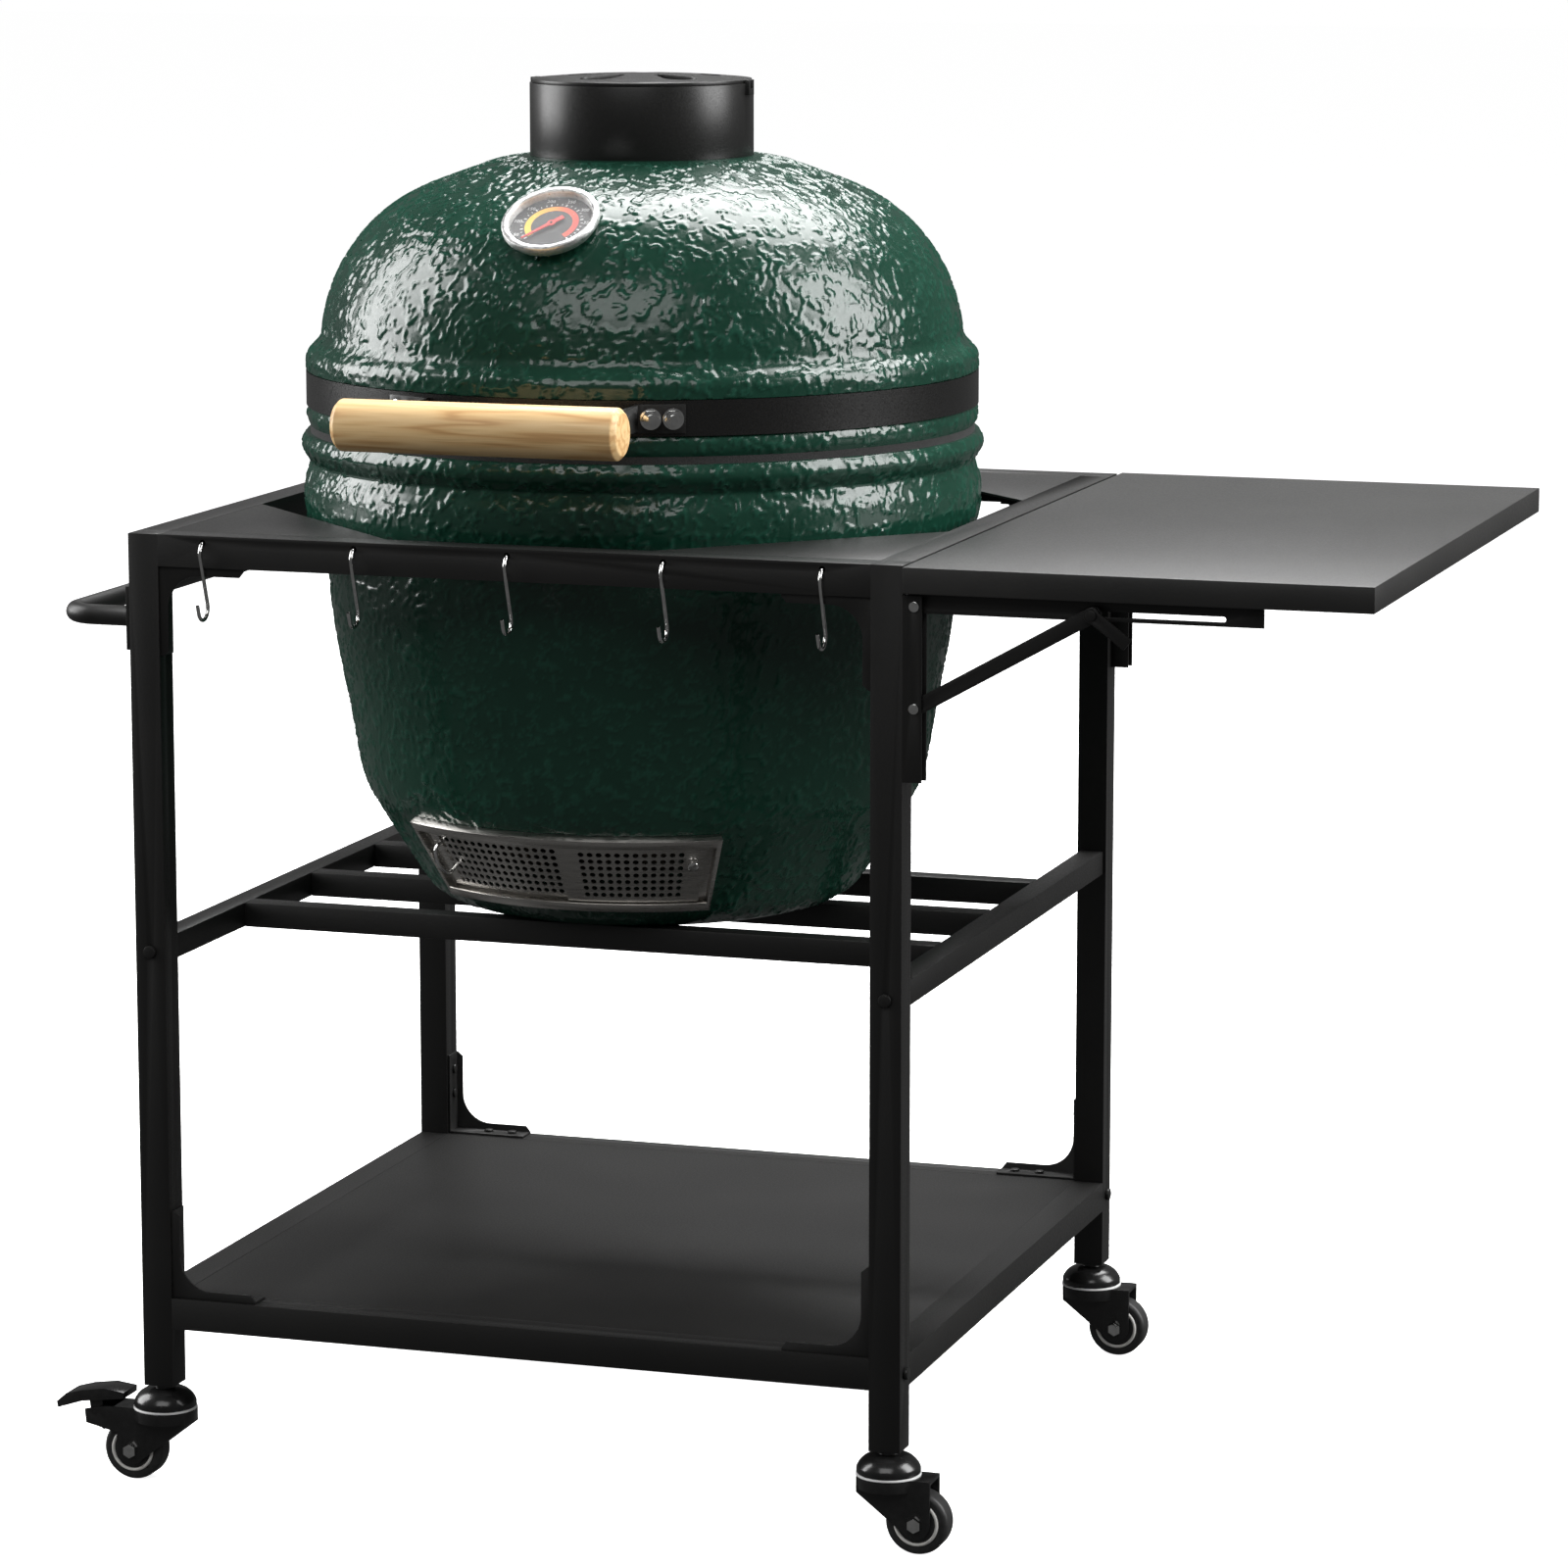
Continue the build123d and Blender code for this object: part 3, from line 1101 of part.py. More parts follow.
def upper_band():
    z = (LID_EDGE + BAND_RISE, LID_EDGE + BAND_RISE + BAND_HEIGHT)
    band = ring(BAND_SEAT_RADIUS, BAND_RADIUS, z)
    angles = band_bolt_angles() + [180 - HINGE_BOLT_ANGLE, 180 + HINGE_BOLT_ANGLE]
    holes = [stud_hole(a, BAND_MIDDLE, BAND_SEAT_RADIUS - 2, BAND_RADIUS + 2) for a in angles]
    return solids_of([band - holes])


def band_bolts():
    front = BAND_RADIUS + BRACKET_SHEET
    rear = BAND_RADIUS + HINGE_SHEET
    pieces = [stud(a, BAND_MIDDLE, BAND_SEAT_RADIUS + 0.1, front) for a in band_bolt_angles()]
    for angle in (180 - HINGE_BOLT_ANGLE, 180 + HINGE_BOLT_ANGLE):
        pieces.append(stud(angle, BAND_MIDDLE, BAND_SEAT_RADIUS + 0.1, rear))
    return solids_of(pieces)


def handle_brackets():
    """Foot bolted to the band and an arm saddled to the grip."""
    z = (BAND_MIDDLE - BRACKET_HEIGHT / 2, BAND_MIDDLE + BRACKET_HEIGHT / 2)
    outer = BAND_RADIUS + BRACKET_SHEET
    foot = ring(BAND_RADIUS, outer, z, BRACKET_FOOT[0], BRACKET_FOOT[1] - BRACKET_FOOT[0])
    foot -= [stud_hole(a, BAND_MIDDLE, BAND_RADIUS - 1, outer + 1) for a in BAND_BOLT_ANGLES]
    arm_x = (BRACKET_ARM_X - BRACKET_SHEET / 2, BRACKET_ARM_X + BRACKET_SHEET / 2)
    band_y = -sqrt((BAND_RADIUS + BRACKET_SHEET / 2) ** 2 - BRACKET_ARM_X**2)
    arm_z = (GRIP_Z - GRIP_RADIUS / 2, GRIP_Z + GRIP_RADIUS / 2)
    arm = block(arm_x, (-GRIP_REACH, band_y), arm_z)
    arm -= rod((0, -GRIP_REACH, GRIP_Z), (GRIP_LENGTH, -GRIP_REACH, GRIP_Z), GRIP_RADIUS)
    return solids_of(left_and_right(foot + arm.solids().sort_by(Axis.Y)[-1]))


def wooden_handle():
    half = GRIP_LENGTH / 2
    bar = rod((-half, -GRIP_REACH, GRIP_Z), (half, -GRIP_REACH, GRIP_Z), GRIP_RADIUS)
    return solids_of([chamfer(bar.edges().filter_by(GeomType.CIRCLE), GRIP_CHAMFER)])


def petal_openings(z):
    """Teardrop openings around the axis, between two heights."""
    near, far = PETAL_INNER, PETAL_OUTER
    outline = make_hull([
        Pos(near[0], 0) * Circle(near[1]).edge(),
        Pos(far[0], 0) * Circle(far[1]).edge(),
    ])
    petal = Pos(0, 0, z[0]) * extrude(outline, z[1] - z[0])
    pitch = 360 / PETAL_COUNT
    return [Rot(0, 0, PETAL_PHASE - 90 + i * pitch) * petal for i in range(PETAL_COUNT)]


def chimney_cap():
    wall = ring(CAP_RADIUS - CAP_WALL, CAP_RADIUS, (CAP_SEAT, CAP_LID))
    lid = rod((0, 0, CAP_LID - CAP_TOP), (0, 0, CAP_LID), CAP_RADIUS)
    cap = wall + (lid - petal_openings((CAP_LID - CAP_TOP - 1, CAP_LID + 1)))
    half = CAP_LUG_WIDTH / 2
    z = (CAP_LID - CAP_LUG_HEIGHT + CAP_TOP, CAP_LID + CAP_TOP)
    lug = block((CAP_RADIUS - 1, CAP_RADIUS + CAP_LUG_DEPTH), (-half, half), z)
    notch, deep = CAP_LUG_NOTCH
    lug -= block((CAP_RADIUS - 2, CAP_RADIUS + 9), (-notch / 2, notch / 2), (z[1] - deep, z[1] + 1))
    cap += left_and_right(lug)
    hole = rod((0, 0, CAP_LID - CAP_TOP - 1), (0, 0, CAP_LID + 1), VENT_PIVOT_RADIUS + RUNNING_FIT)
    return solids_of([cap - hole])


def vent_disk():
    """Crowned disk that turns on the cap to open and close the petals."""
    low = CAP_LID + SLIP_GAP
    t = VENT_DISK_THICKNESS
    top = low + VENT_DISK_CROWN
    r = VENT_DISK_RADIUS
    foot = CAP_LID - CAP_TOP
    pivot = VENT_PIVOT_RADIUS
    outline = [
        Polyline((0, foot), (pivot, foot), (pivot, low), (r, low), (r, low + t)),
        ThreePointArc((r, low + t), (r / 2, low + t + (top - low) * 0.75), (0, top + t)),
        Line((0, top + t), (0, foot)),
    ]
    disk = turned(outline)
    return solids_of([disk - petal_openings((low - 1, top + t + 1))])


def thermometer_case():
    low = GAUGE_STANDOFF
    parts = Cylinder(GAUGE_CASE_RADIUS, GAUGE_DEPTH - low, align=(Align.CENTER, Align.CENTER, Align.MIN))
    case = Pos(0, 0, low) * parts
    ring_low = GAUGE_DEPTH - GAUGE_BEZEL_HEIGHT
    case += Pos(0, 0, ring_low + GAUGE_BEZEL_HEIGHT / 2) * Cylinder(GAUGE_BEZEL_RADIUS, GAUGE_BEZEL_HEIGHT)
    floor = low + 2.5
    case -= Pos(0, 0, floor + 20) * Cylinder(GAUGE_WINDOW_RADIUS, 40)
    case += Pos(0, 0, low + 1 - PROBE_LENGTH / 2) * Cylinder(PROBE_RADIUS, PROBE_LENGTH)
    return solids_of([GAUGE_PLANE * case])


GAUGE_FLOOR = GAUGE_STANDOFF + 2.5
NEEDLE_LOW = GAUGE_FLOOR + GAUGE_DIAL_THICKNESS + 1.2
NEEDLE_HIGH = NEEDLE_LOW + 0.8


def thermometer_dial():
    disk = Cylinder(GAUGE_WINDOW_RADIUS - 0.1, GAUGE_DIAL_THICKNESS)
    dial = Pos(0, 0, GAUGE_FLOOR + GAUGE_DIAL_THICKNESS / 2) * disk
    pin = rod((0, 0, GAUGE_FLOOR), (0, 0, NEEDLE_HIGH + 0.5), NEEDLE_PIN_RADIUS)
    return solids_of([GAUGE_PLANE * (dial + pin)])


def thermometer_glass():
    disk = Cylinder(GAUGE_WINDOW_RADIUS - 0.1, GAUGE_GLASS_THICKNESS)
    return solids_of([GAUGE_PLANE * (Pos(0, 0, GAUGE_DEPTH - 2 - GAUGE_GLASS_THICKNESS / 2) * disk)])


def thermometer_needle():
    hub = rod((0, 0, NEEDLE_LOW), (0, 0, NEEDLE_HIGH), 3.2)
    outline = [(NEEDLE_LENGTH, -0.6), (NEEDLE_LENGTH, 0.6), (-NEEDLE_TAIL, 2.2), (-NEEDLE_TAIL, -2.2)]
    blade = extrude(make_face(Polyline(*outline, close=True)), NEEDLE_HIGH - NEEDLE_LOW)
    needle = hub + Pos(0, 0, NEEDLE_LOW) * blade
    needle -= rod((0, 0, NEEDLE_LOW - 1), (0, 0, NEEDLE_HIGH + 1), NEEDLE_PIN_RADIUS + RUNNING_FIT)
    return solids_of([GAUGE_PLANE * Rot(0, 0, NEEDLE_REST) * needle])


# ---------------------------------------------------------------- hinge
def ear(outline, x, pin_radius, ear_radius):
    """Hinge cheek in a Y-Z plane, round about the pin."""
    plate = extrude(Plane.YZ * make_face(Polyline(*outline, close=True)), x[1] - x[0])
    plate = Pos(x[0], 0, 0) * plate
    plate += rod((x[0], PIN_REACH, PIN_Z), (x[1], PIN_REACH, PIN_Z), ear_radius)
    hole = rod((x[0] - 1, PIN_REACH, PIN_Z), (x[1] + 1, PIN_REACH, PIN_Z), pin_radius)
    return plate - hole


def hinge_lid_bracket():
    z = (LID_EDGE + BAND_RISE, LID_EDGE + BAND_RISE + BAND_HEIGHT)
    outer = BAND_RADIUS + HINGE_SHEET
    half = HINGE_FOOT_HALF_ANGLE
    foot = ring(BAND_RADIUS, outer, z, 180 - half, 2 * half)
    x = (LID_EAR_X, LID_EAR_X + HINGE_SHEET)
    near = sqrt(BAND_RADIUS**2 - x[0] ** 2) + 1
    outline = [
        (near, z[0]), (near, z[1]), (PIN_REACH + 4, PIN_Z + LID_EAR_RADIUS - 1),
        (PIN_REACH + 4, PIN_Z - LID_EAR_RADIUS + 1), (PIN_REACH - 20, PIN_Z - 10),
    ]
    cheek = ear(outline, x, PIN_RADIUS + RUNNING_FIT, LID_EAR_RADIUS)
    holes = [
        stud_hole(180 + side * HINGE_BOLT_ANGLE, BAND_MIDDLE, BAND_RADIUS - 1, outer + 1)
        for side in (-1, 1)
    ]
    return solids_of([foot + left_and_right(cheek) - holes])


def base_foot():
    """Radii and heights of the base bracket's curved foot."""
    inner = max(BASE_RING[1][0], BASE_RING[0][0]) + SLIP_GAP
    z = tuple(GRILL_SEAT_HEIGHT + rise for rise in HINGE_FOOT_RISE)
    return inner, inner + HINGE_SHEET, z


def hinge_base_bracket():
    inner, outer, z = base_foot()
    half = HINGE_FOOT_HALF_ANGLE
    foot = ring(inner, outer, z, 180 - half, 2 * half)
    low = LID_EAR_X + HINGE_SHEET + 1
    x = (low, low + HINGE_SHEET)
    near = sqrt(inner**2 - x[0] ** 2) + 1
    outline = [
        (near, z[0]), (near, z[1]), (PIN_REACH - 14, PIN_Z + BASE_EAR_RADIUS - 8),
        (PIN_REACH + 10, PIN_Z - BASE_EAR_RADIUS + 4), (PIN_REACH - 20, z[0] + 14),
    ]
    cheek = ear(outline, x, PIN_RADIUS + RUNNING_FIT, BASE_EAR_RADIUS)
    holes = [stud_hole(a, h, inner - 1, outer + 1) for a, h in base_bolt_places()]
    return solids_of([foot + left_and_right(cheek) - holes])


def base_bolt_places():
    inner, outer, z = base_foot()
    middle = (z[0] + z[1]) / 2
    angles = (180 - HINGE_BOLT_ANGLE + 5, 180 + HINGE_BOLT_ANGLE - 5)
    return [(angle, middle) for angle in angles]


def hinge_bolts():
    inner, outer, z = base_foot()
    return solids_of([stud(angle, height, inner, outer) for angle, height in base_bolt_places()])


def hinge_pin():
    half = LID_EAR_X + 2 * HINGE_SHEET + 1 + SLIP_GAP
    pin = rod((-half, PIN_REACH, PIN_Z), (half, PIN_REACH, PIN_Z), PIN_RADIUS)
    for side in (-1, 1):
        start = (side * half, PIN_REACH, PIN_Z)
        end = (side * (half + PIN_HEAD_HEIGHT), PIN_REACH, PIN_Z)
        pin += rod(start, end, PIN_HEAD_RADIUS)
    return solids_of([pin])


# ---------------------------------------------------------------- whole grill
CORNERS = {
    "front_right": (True, True),
    "rear_right": (True, False),
    "front_left": (False, True),
    "rear_left": (False, False),
}


def all_nodes():
    lever = release_lever()
    base_gasket_z = (BASE_RIM_HEIGHT, BASE_RIM_HEIGHT + GASKET_THICKNESS)
    lid_gasket_z = (LID_EDGE - GASKET_THICKNESS, LID_EDGE)
    nodes = {
        "legs": legs(),
        "top_rails": top_rails(),
        "corner_plates": corner_plates(),
        "shelf_rails": shelf_rails(),
        "shelf_panel": shelf_panel(),
        "support_rails": support_rails(),
        "cross_bars": cross_bars(),
        "corner_gussets": corner_gussets(),
        "machine_screws": machine_screws(),
        "frame_bolts": frame_bolts(),
        "push_handle": push_handle(),
        "side_table_top": side_table_top(),
        "slotted_arms": slotted_arms(),
        "bracket_channels": bracket_channels(),
        "bracket_rivets": bracket_rivets(),
        "support_struts": support_struts(),
        "slot_pins": slot_pins(),
        "release_lever_front": solids_of([lever]),
        "release_lever_rear": solids_of([mirror(lever, about=Plane.XZ)]),
        "caster_stems": caster_stems(),
        "ceramic_base": ceramic_base(),
        "draft_frame": draft_frame(),
        "screen_door": screen_door(),
        "front_door": front_door(),
        "fire_box": fire_box(),
        "fire_ring": fire_ring(),
        "charcoal_grate": charcoal_grate(),
        "cooking_grate": cooking_grate(),
        "base_gasket": gasket(base_gasket_z),
        "lid_gasket": gasket(lid_gasket_z),
        "ceramic_lid": ceramic_lid(),
        "upper_band": upper_band(),
        "band_bolts": band_bolts(),
        "handle_brackets": handle_brackets(),
        "wooden_handle": wooden_handle(),
        "chimney_cap": chimney_cap(),
        "vent_disk": vent_disk(),
        "thermometer_case": thermometer_case(),
        "thermometer_dial": thermometer_dial(),
        "thermometer_glass": thermometer_glass(),
        "thermometer_needle": thermometer_needle(),
        "hinge_lid_bracket": hinge_lid_bracket(),
        "hinge_base_bracket": hinge_base_bracket(),
        "hinge_bolts": hinge_bolts(),
        "hinge_pin": hinge_pin(),
    }
    for i, centre in enumerate(hook_hole_centres()):
        nodes[f"hook_{i + 1}"] = Compound([hook(centre)])
    for name, (right, front) in CORNERS.items():
        nodes[f"caster_fork_{name}"] = at_corner(fork(braked=not right), right, front)
        nodes[f"caster_wheel_{name}"] = at_corner(wheel(), right, front)
        if not right:
            nodes[f"brake_pedal_{name}"] = at_corner([brake_pedal()], right, front)
    return nodes


if __name__ == "__main__":
    os.makedirs("parts", exist_ok=True)
    for name, shape in all_nodes().items():
        export_step(Pos(-ORIGIN_X, -ORIGIN_Y, 0) * shape, f"parts/{name}.step")
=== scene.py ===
import json
from math import cos, hypot, pi, radians, sin

import bpy
from mathutils import Matrix, Vector, noise


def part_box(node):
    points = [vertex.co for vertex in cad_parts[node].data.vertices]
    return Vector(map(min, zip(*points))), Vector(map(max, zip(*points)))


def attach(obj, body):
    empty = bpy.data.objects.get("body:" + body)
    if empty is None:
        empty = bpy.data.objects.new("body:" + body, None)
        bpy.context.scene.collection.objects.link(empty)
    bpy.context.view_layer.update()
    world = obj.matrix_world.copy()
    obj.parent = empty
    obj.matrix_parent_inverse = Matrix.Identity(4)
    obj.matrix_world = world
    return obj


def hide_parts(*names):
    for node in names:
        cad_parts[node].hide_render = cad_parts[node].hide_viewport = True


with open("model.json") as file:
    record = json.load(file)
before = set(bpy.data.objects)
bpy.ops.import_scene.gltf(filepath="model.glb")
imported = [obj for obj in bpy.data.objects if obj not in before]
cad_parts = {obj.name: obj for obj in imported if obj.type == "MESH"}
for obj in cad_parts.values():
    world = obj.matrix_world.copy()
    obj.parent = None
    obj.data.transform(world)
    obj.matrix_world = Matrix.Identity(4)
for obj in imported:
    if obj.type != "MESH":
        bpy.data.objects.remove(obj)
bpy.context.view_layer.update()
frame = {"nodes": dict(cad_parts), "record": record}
nodes = frame["nodes"]

MM = 0.001

# ---------------------------------------------------------------- places taken from the frame
lid_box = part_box("ceramic_lid")
base_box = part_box("ceramic_base")
AXIS = Vector(((lid_box[0].x + lid_box[1].x) / 2, (lid_box[0].y + lid_box[1].y) / 2, 0))
BASE_FLOOR = 22.5 * MM              # thickness of the ceramic base's floor
CORNERS = ("front_right", "rear_right", "front_left", "rear_left")
BRAKED = ("front_left", "rear_left")


# ---------------------------------------------------------------- working by hand
def clear_selection():
    if bpy.context.mode != "OBJECT":
        bpy.ops.object.mode_set(mode="OBJECT")
    bpy.ops.object.select_all(action="DESELECT")


def pick(obj):
    clear_selection()
    obj.select_set(True)
    bpy.context.view_layer.objects.active = obj
    return obj


def edit(obj, what="VERT"):
    pick(obj)
    bpy.ops.object.mode_set(mode="EDIT")
    bpy.ops.mesh.select_mode(type=what)
    bpy.ops.mesh.select_all(action="SELECT")


def leave_edit():
    bpy.ops.object.mode_set(mode="OBJECT")


def apply_all(obj):
    pick(obj)
    for modifier in list(obj.modifiers):
        bpy.ops.object.modifier_apply(modifier=modifier.name)


def settle(obj):
    """Put the place into the mesh and leave the object at the origin."""
    pick(obj)
    bpy.ops.object.transform_apply(location=True, rotation=True, scale=True)
    return obj


def recalculate(obj):
    edit(obj)
    bpy.ops.mesh.remove_doubles(threshold=0.000005)
    bpy.ops.mesh.normals_make_consistent(inside=False)
    leave_edit()


def smooth(obj, angle=35):
    pick(obj)
    bpy.ops.object.shade_smooth_by_angle(angle=radians(angle))


def paint(obj, material):
    obj.data.materials.clear()
    obj.data.materials.append(material)


def belongs(obj, body, stands_for=()):
    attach(obj, body)
    if stands_for:
        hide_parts(*stands_for)
    return obj


def body_of(node):
    for body, members in frame["record"]["behaviour"]["bodies"].items():
        if node in members:
            return body
    raise ValueError(node)


def duplicate(node, name):
    """A welded copy of a CAD node with its flat faces made whole again."""
    data = nodes[node].data.copy()
    obj = bpy.data.objects.new(name, data)
    bpy.context.scene.collection.objects.link(obj)
    data.materials.clear()
    if data.has_custom_normals:
        pick(obj)
        bpy.ops.mesh.customdata_custom_splitnormals_clear()
    edit(obj)
    bpy.ops.mesh.remove_doubles(threshold=0.00001)
    bpy.ops.mesh.dissolve_limited(angle_limit=radians(0.6))
    leave_edit()
    return obj


def round_edges(obj, width, segments=2, limit=32):
    bevel = obj.modifiers.new("edge", "BEVEL")
    bevel.width = width
    bevel.segments = segments
    bevel.limit_method = "ANGLE"
    bevel.angle_limit = radians(limit)
    bevel.use_clamp_overlap = True
    apply_all(obj)
    smooth(obj, 30)


def made_part(node, material, edge):
    """A CAD part with eased edges and its finish, standing for the plain one."""
    obj = duplicate(node, f"{node}_made")
    round_edges(obj, edge)
    paint(obj, material)
    return belongs(obj, body_of(node), (node,))


def split_part(node, chooser):
    """The separate solids of a CAD part, each with its own finish and edge."""
    obj = duplicate(node, f"{node}_made")
    edit(obj)
    bpy.ops.mesh.separate(type="LOOSE")
    leave_edit()
    made = list(bpy.context.selected_objects)
    for i, piece in enumerate(made):
        piece.name = f"{node}_made_{i + 1}"
        material, width = chooser(piece)
        round_edges(piece, width)
        paint(piece, material)
        belongs(piece, body_of(node), (node,))
    return made


def extent(obj):
    points = [v.co for v in obj.data.vertices]
    low = Vector([min(p[i] for p in points) for i in range(3)])
    high = Vector([max(p[i] for p in points) for i in range(3)])
    return low, high


# ---------------------------------------------------------------- finishes
def finish(name, colour, rough, metal=0.0, **inputs):
    """A plain finish; returns the material, its node tree and its shader."""
    material = bpy.data.materials.new(name)
    material.use_nodes = True
    tree = material.node_tree
    shader = tree.nodes["Principled BSDF"]
    shader.inputs["Base Color"].default_value = (*colour, 1)
    shader.inputs["Roughness"].default_value = rough
    shader.inputs["Metallic"].default_value = metal
    for key, value in inputs.items():
        shader.inputs[key.replace("_", " ")].default_value = value
    return material, tree, shader


def object_place(tree, scale=(1, 1, 1), location=(0, 0, 0), turn=(0, 0, 0)):
    where = tree.nodes.new("ShaderNodeTexCoord")
    mapping = tree.nodes.new("ShaderNodeMapping")
    mapping.inputs["Scale"].default_value = scale
    mapping.inputs["Location"].default_value = location
    mapping.inputs["Rotation"].default_value = turn
    tree.links.new(where.outputs["Object"], mapping.inputs["Vector"])
    return mapping.outputs["Vector"]


def grainy(tree, vector, scale, detail=2.0, rough=0.5, distortion=0.0):
    texture = tree.nodes.new("ShaderNodeTexNoise")
    texture.inputs["Scale"].default_value = scale
    texture.inputs["Detail"].default_value = detail
    texture.inputs["Roughness"].default_value = rough
    texture.inputs["Distortion"].default_value = distortion
    tree.links.new(vector, texture.inputs["Vector"])
    return texture.outputs["Fac"]


def ramp(tree, value, stops):
    node = tree.nodes.new("ShaderNodeValToRGB")
    elements = node.color_ramp.elements
    while len(elements) < len(stops):
        elements.new(0.5)
    for element, (position, colour) in zip(elements, stops):
        element.position = position
        element.color = (*colour, 1)
    tree.links.new(value, node.inputs["Fac"])
    return node.outputs["Color"]


def spread(tree, value, low, high, from_low=0.3, from_high=0.7):
    node = tree.nodes.new("ShaderNodeMapRange")
    node.inputs["From Min"].default_value = from_low
    node.inputs["From Max"].default_value = from_high
    node.inputs["To Min"].default_value = low
    node.inputs["To Max"].default_value = high
    tree.links.new(value, node.inputs["Value"])
    return node.outputs["Result"]


def bumped(tree, shader, height, strength, distance):
    node = tree.nodes.new("ShaderNodeBump")
    node.inputs["Strength"].default_value = strength
    node.inputs["Distance"].default_value = distance
    tree.links.new(height, node.inputs["Height"])
    tree.links.new(node.outputs["Normal"], shader.inputs["Normal"])


def powder_coat(name="black_powder_coat", shade=0.011, rough=0.42, gloss=0.35):
    material, tree, shader = finish(name, (shade,) * 3, rough, Specular_IOR_Level=gloss)
    place = object_place(tree)
    cloud = grainy(tree, place, 9.0, 3.0)
    dark = tuple(shade * k for k in (0.86, 0.85, 0.83))
    light = tuple(shade * k for k in (1.2, 1.18, 1.14))
    tree.links.new(ramp(tree, cloud, [(0.3, dark), (0.7, light)]), shader.inputs["Base Color"])
    peel = grainy(tree, place, 700.0, 2.0)
    tree.links.new(spread(tree, peel, rough - 0.05, rough + 0.06), shader.inputs["Roughness"])
    bumped(tree, shader, peel, 0.12, 0.0003)
    return material


def green_glaze():
    """Dark green glaze, paler on the raised worms as painted highlight and thinner glaze, and darker
    between them as painted shade and pooled glaze.
    """
    material, tree, shader = finish(
        "green_glaze", (0.01, 0.06, 0.035), 0.2, Coat_Weight=0.12, Coat_Roughness=0.1,
        Specular_IOR_Level=0.42,
    )
    relief = tree.nodes.new("ShaderNodeAttribute")
    relief.attribute_name = "relief"
    place = object_place(tree)
    cloud = grainy(tree, place, 14.0, 4.0)
    # groove colour: painted shade between the worms, partly also pooled glaze
    low = ramp(tree, cloud, [(0.3, (0.0045, 0.030, 0.018)), (0.7, (0.0065, 0.041, 0.025))])
    # worm colour: painted highlight on the raised worms, partly also thinner glaze
    high = ramp(tree, cloud, [(0.3, (0.0075, 0.046, 0.029)), (0.7, (0.0105, 0.060, 0.038))])
    # the relief height mixes the painted shade into the hollows and the painted highlight onto the worms
    mix = tree.nodes.new("ShaderNodeMix")
    mix.data_type = "RGBA"
    tree.links.new(relief.outputs["Fac"], mix.inputs["Factor"])
    tree.links.new(low, mix.inputs["A"])
    tree.links.new(high, mix.inputs["B"])
    tree.links.new(mix.outputs["Result"], shader.inputs["Base Color"])
    fine = grainy(tree, place, 330.0, 3.0)
    tree.links.new(spread(tree, fine, 0.16, 0.26), shader.inputs["Roughness"])
    bumped(tree, shader, fine, 0.12, 0.0004)
    return material


def brushed_steel(name, shade, rough, along=(30.0, 30.0, 1500.0)):
    material, tree, shader = finish(name, shade, rough, 1.0)
    lines = grainy(tree, object_place(tree, scale=along), 1.0, 3.0)
    dark = tuple(c * 0.82 for c in shade)
    tree.links.new(ramp(tree, lines, [(0.3, dark), (0.7, shade)]), shader.inputs["Base Color"])
    tree.links.new(spread(tree, lines, rough - 0.07, rough + 0.1), shader.inputs["Roughness"])
    bumped(tree, shader, lines, 0.06, 0.0002)
    return material


def bright_plate():
    material, tree, shader = finish("bright_plate", (0.72, 0.72, 0.71), 0.12, 1.0)
    haze = grainy(tree, object_place(tree), 160.0, 3.0)
    tree.links.new(spread(tree, haze, 0.07, 0.2), shader.inputs["Roughness"])
    colour = ramp(tree, haze, [(0.3, (0.62, 0.62, 0.61)), (0.7, (0.78, 0.78, 0.77))])
    tree.links.new(colour, shader.inputs["Base Color"])
    return material


def pine_wood():
    """Pale pine with long wavy grain and fine pores along the bar."""
    material, tree, shader = finish("pale_pine", (0.72, 0.47, 0.25), 0.45, Coat_Weight=0.06)
    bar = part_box("wooden_handle")
    centre = (bar[0] + bar[1]) / 2
    stretch = Vector((4.0, 60.0, 60.0))
    place = object_place(tree, scale=stretch, location=-centre * stretch)
    warp = grainy(tree, place, 0.9, 2.5, 0.5, 0.3)
    rings = tree.nodes.new("ShaderNodeMath")
    rings.operation = "MULTIPLY"
    rings.inputs[1].default_value = 34.0
    tree.links.new(warp, rings.inputs[0])
    wave = tree.nodes.new("ShaderNodeMath")
    wave.operation = "SINE"
    tree.links.new(rings.outputs[0], wave.inputs[0])
    bands = spread(tree, wave.outputs[0], 0.0, 1.0, -1.0, 1.0)
    colour = ramp(tree, bands, [
        (0.0, (0.62, 0.36, 0.15)), (0.22, (0.73, 0.46, 0.205)),
        (0.6, (0.79, 0.53, 0.25)), (1.0, (0.83, 0.575, 0.285)),
    ])
    pores = grainy(tree, object_place(tree, scale=(26.0, 900.0, 900.0)), 1.0, 2.0)
    shadow = ramp(tree, pores, [(0.32, (0.84, 0.80, 0.74)), (0.5, (1.0, 1.0, 1.0))])
    mix = tree.nodes.new("ShaderNodeMix")
    mix.data_type = "RGBA"
    mix.blend_type = "MULTIPLY"
    mix.inputs["Factor"].default_value = 0.7
    tree.links.new(colour, mix.inputs["A"])
    tree.links.new(shadow, mix.inputs["B"])
    tree.links.new(mix.outputs["Result"], shader.inputs["Base Color"])
    bumped(tree, shader, pores, 0.12, 0.0003)
    return material


def speckled(name, dark, light, rough, scale, bump=0.3, metal=0.0):
    material, tree, shader = finish(name, light, rough, metal)
    place = object_place(tree)
    spots = grainy(tree, place, scale, 5.0, 0.6)
    tree.links.new(ramp(tree, spots, [(0.35, dark), (0.65, light)]), shader.inputs["Base Color"])
    bumped(tree, shader, spots, bump, 0.0006)
    return material


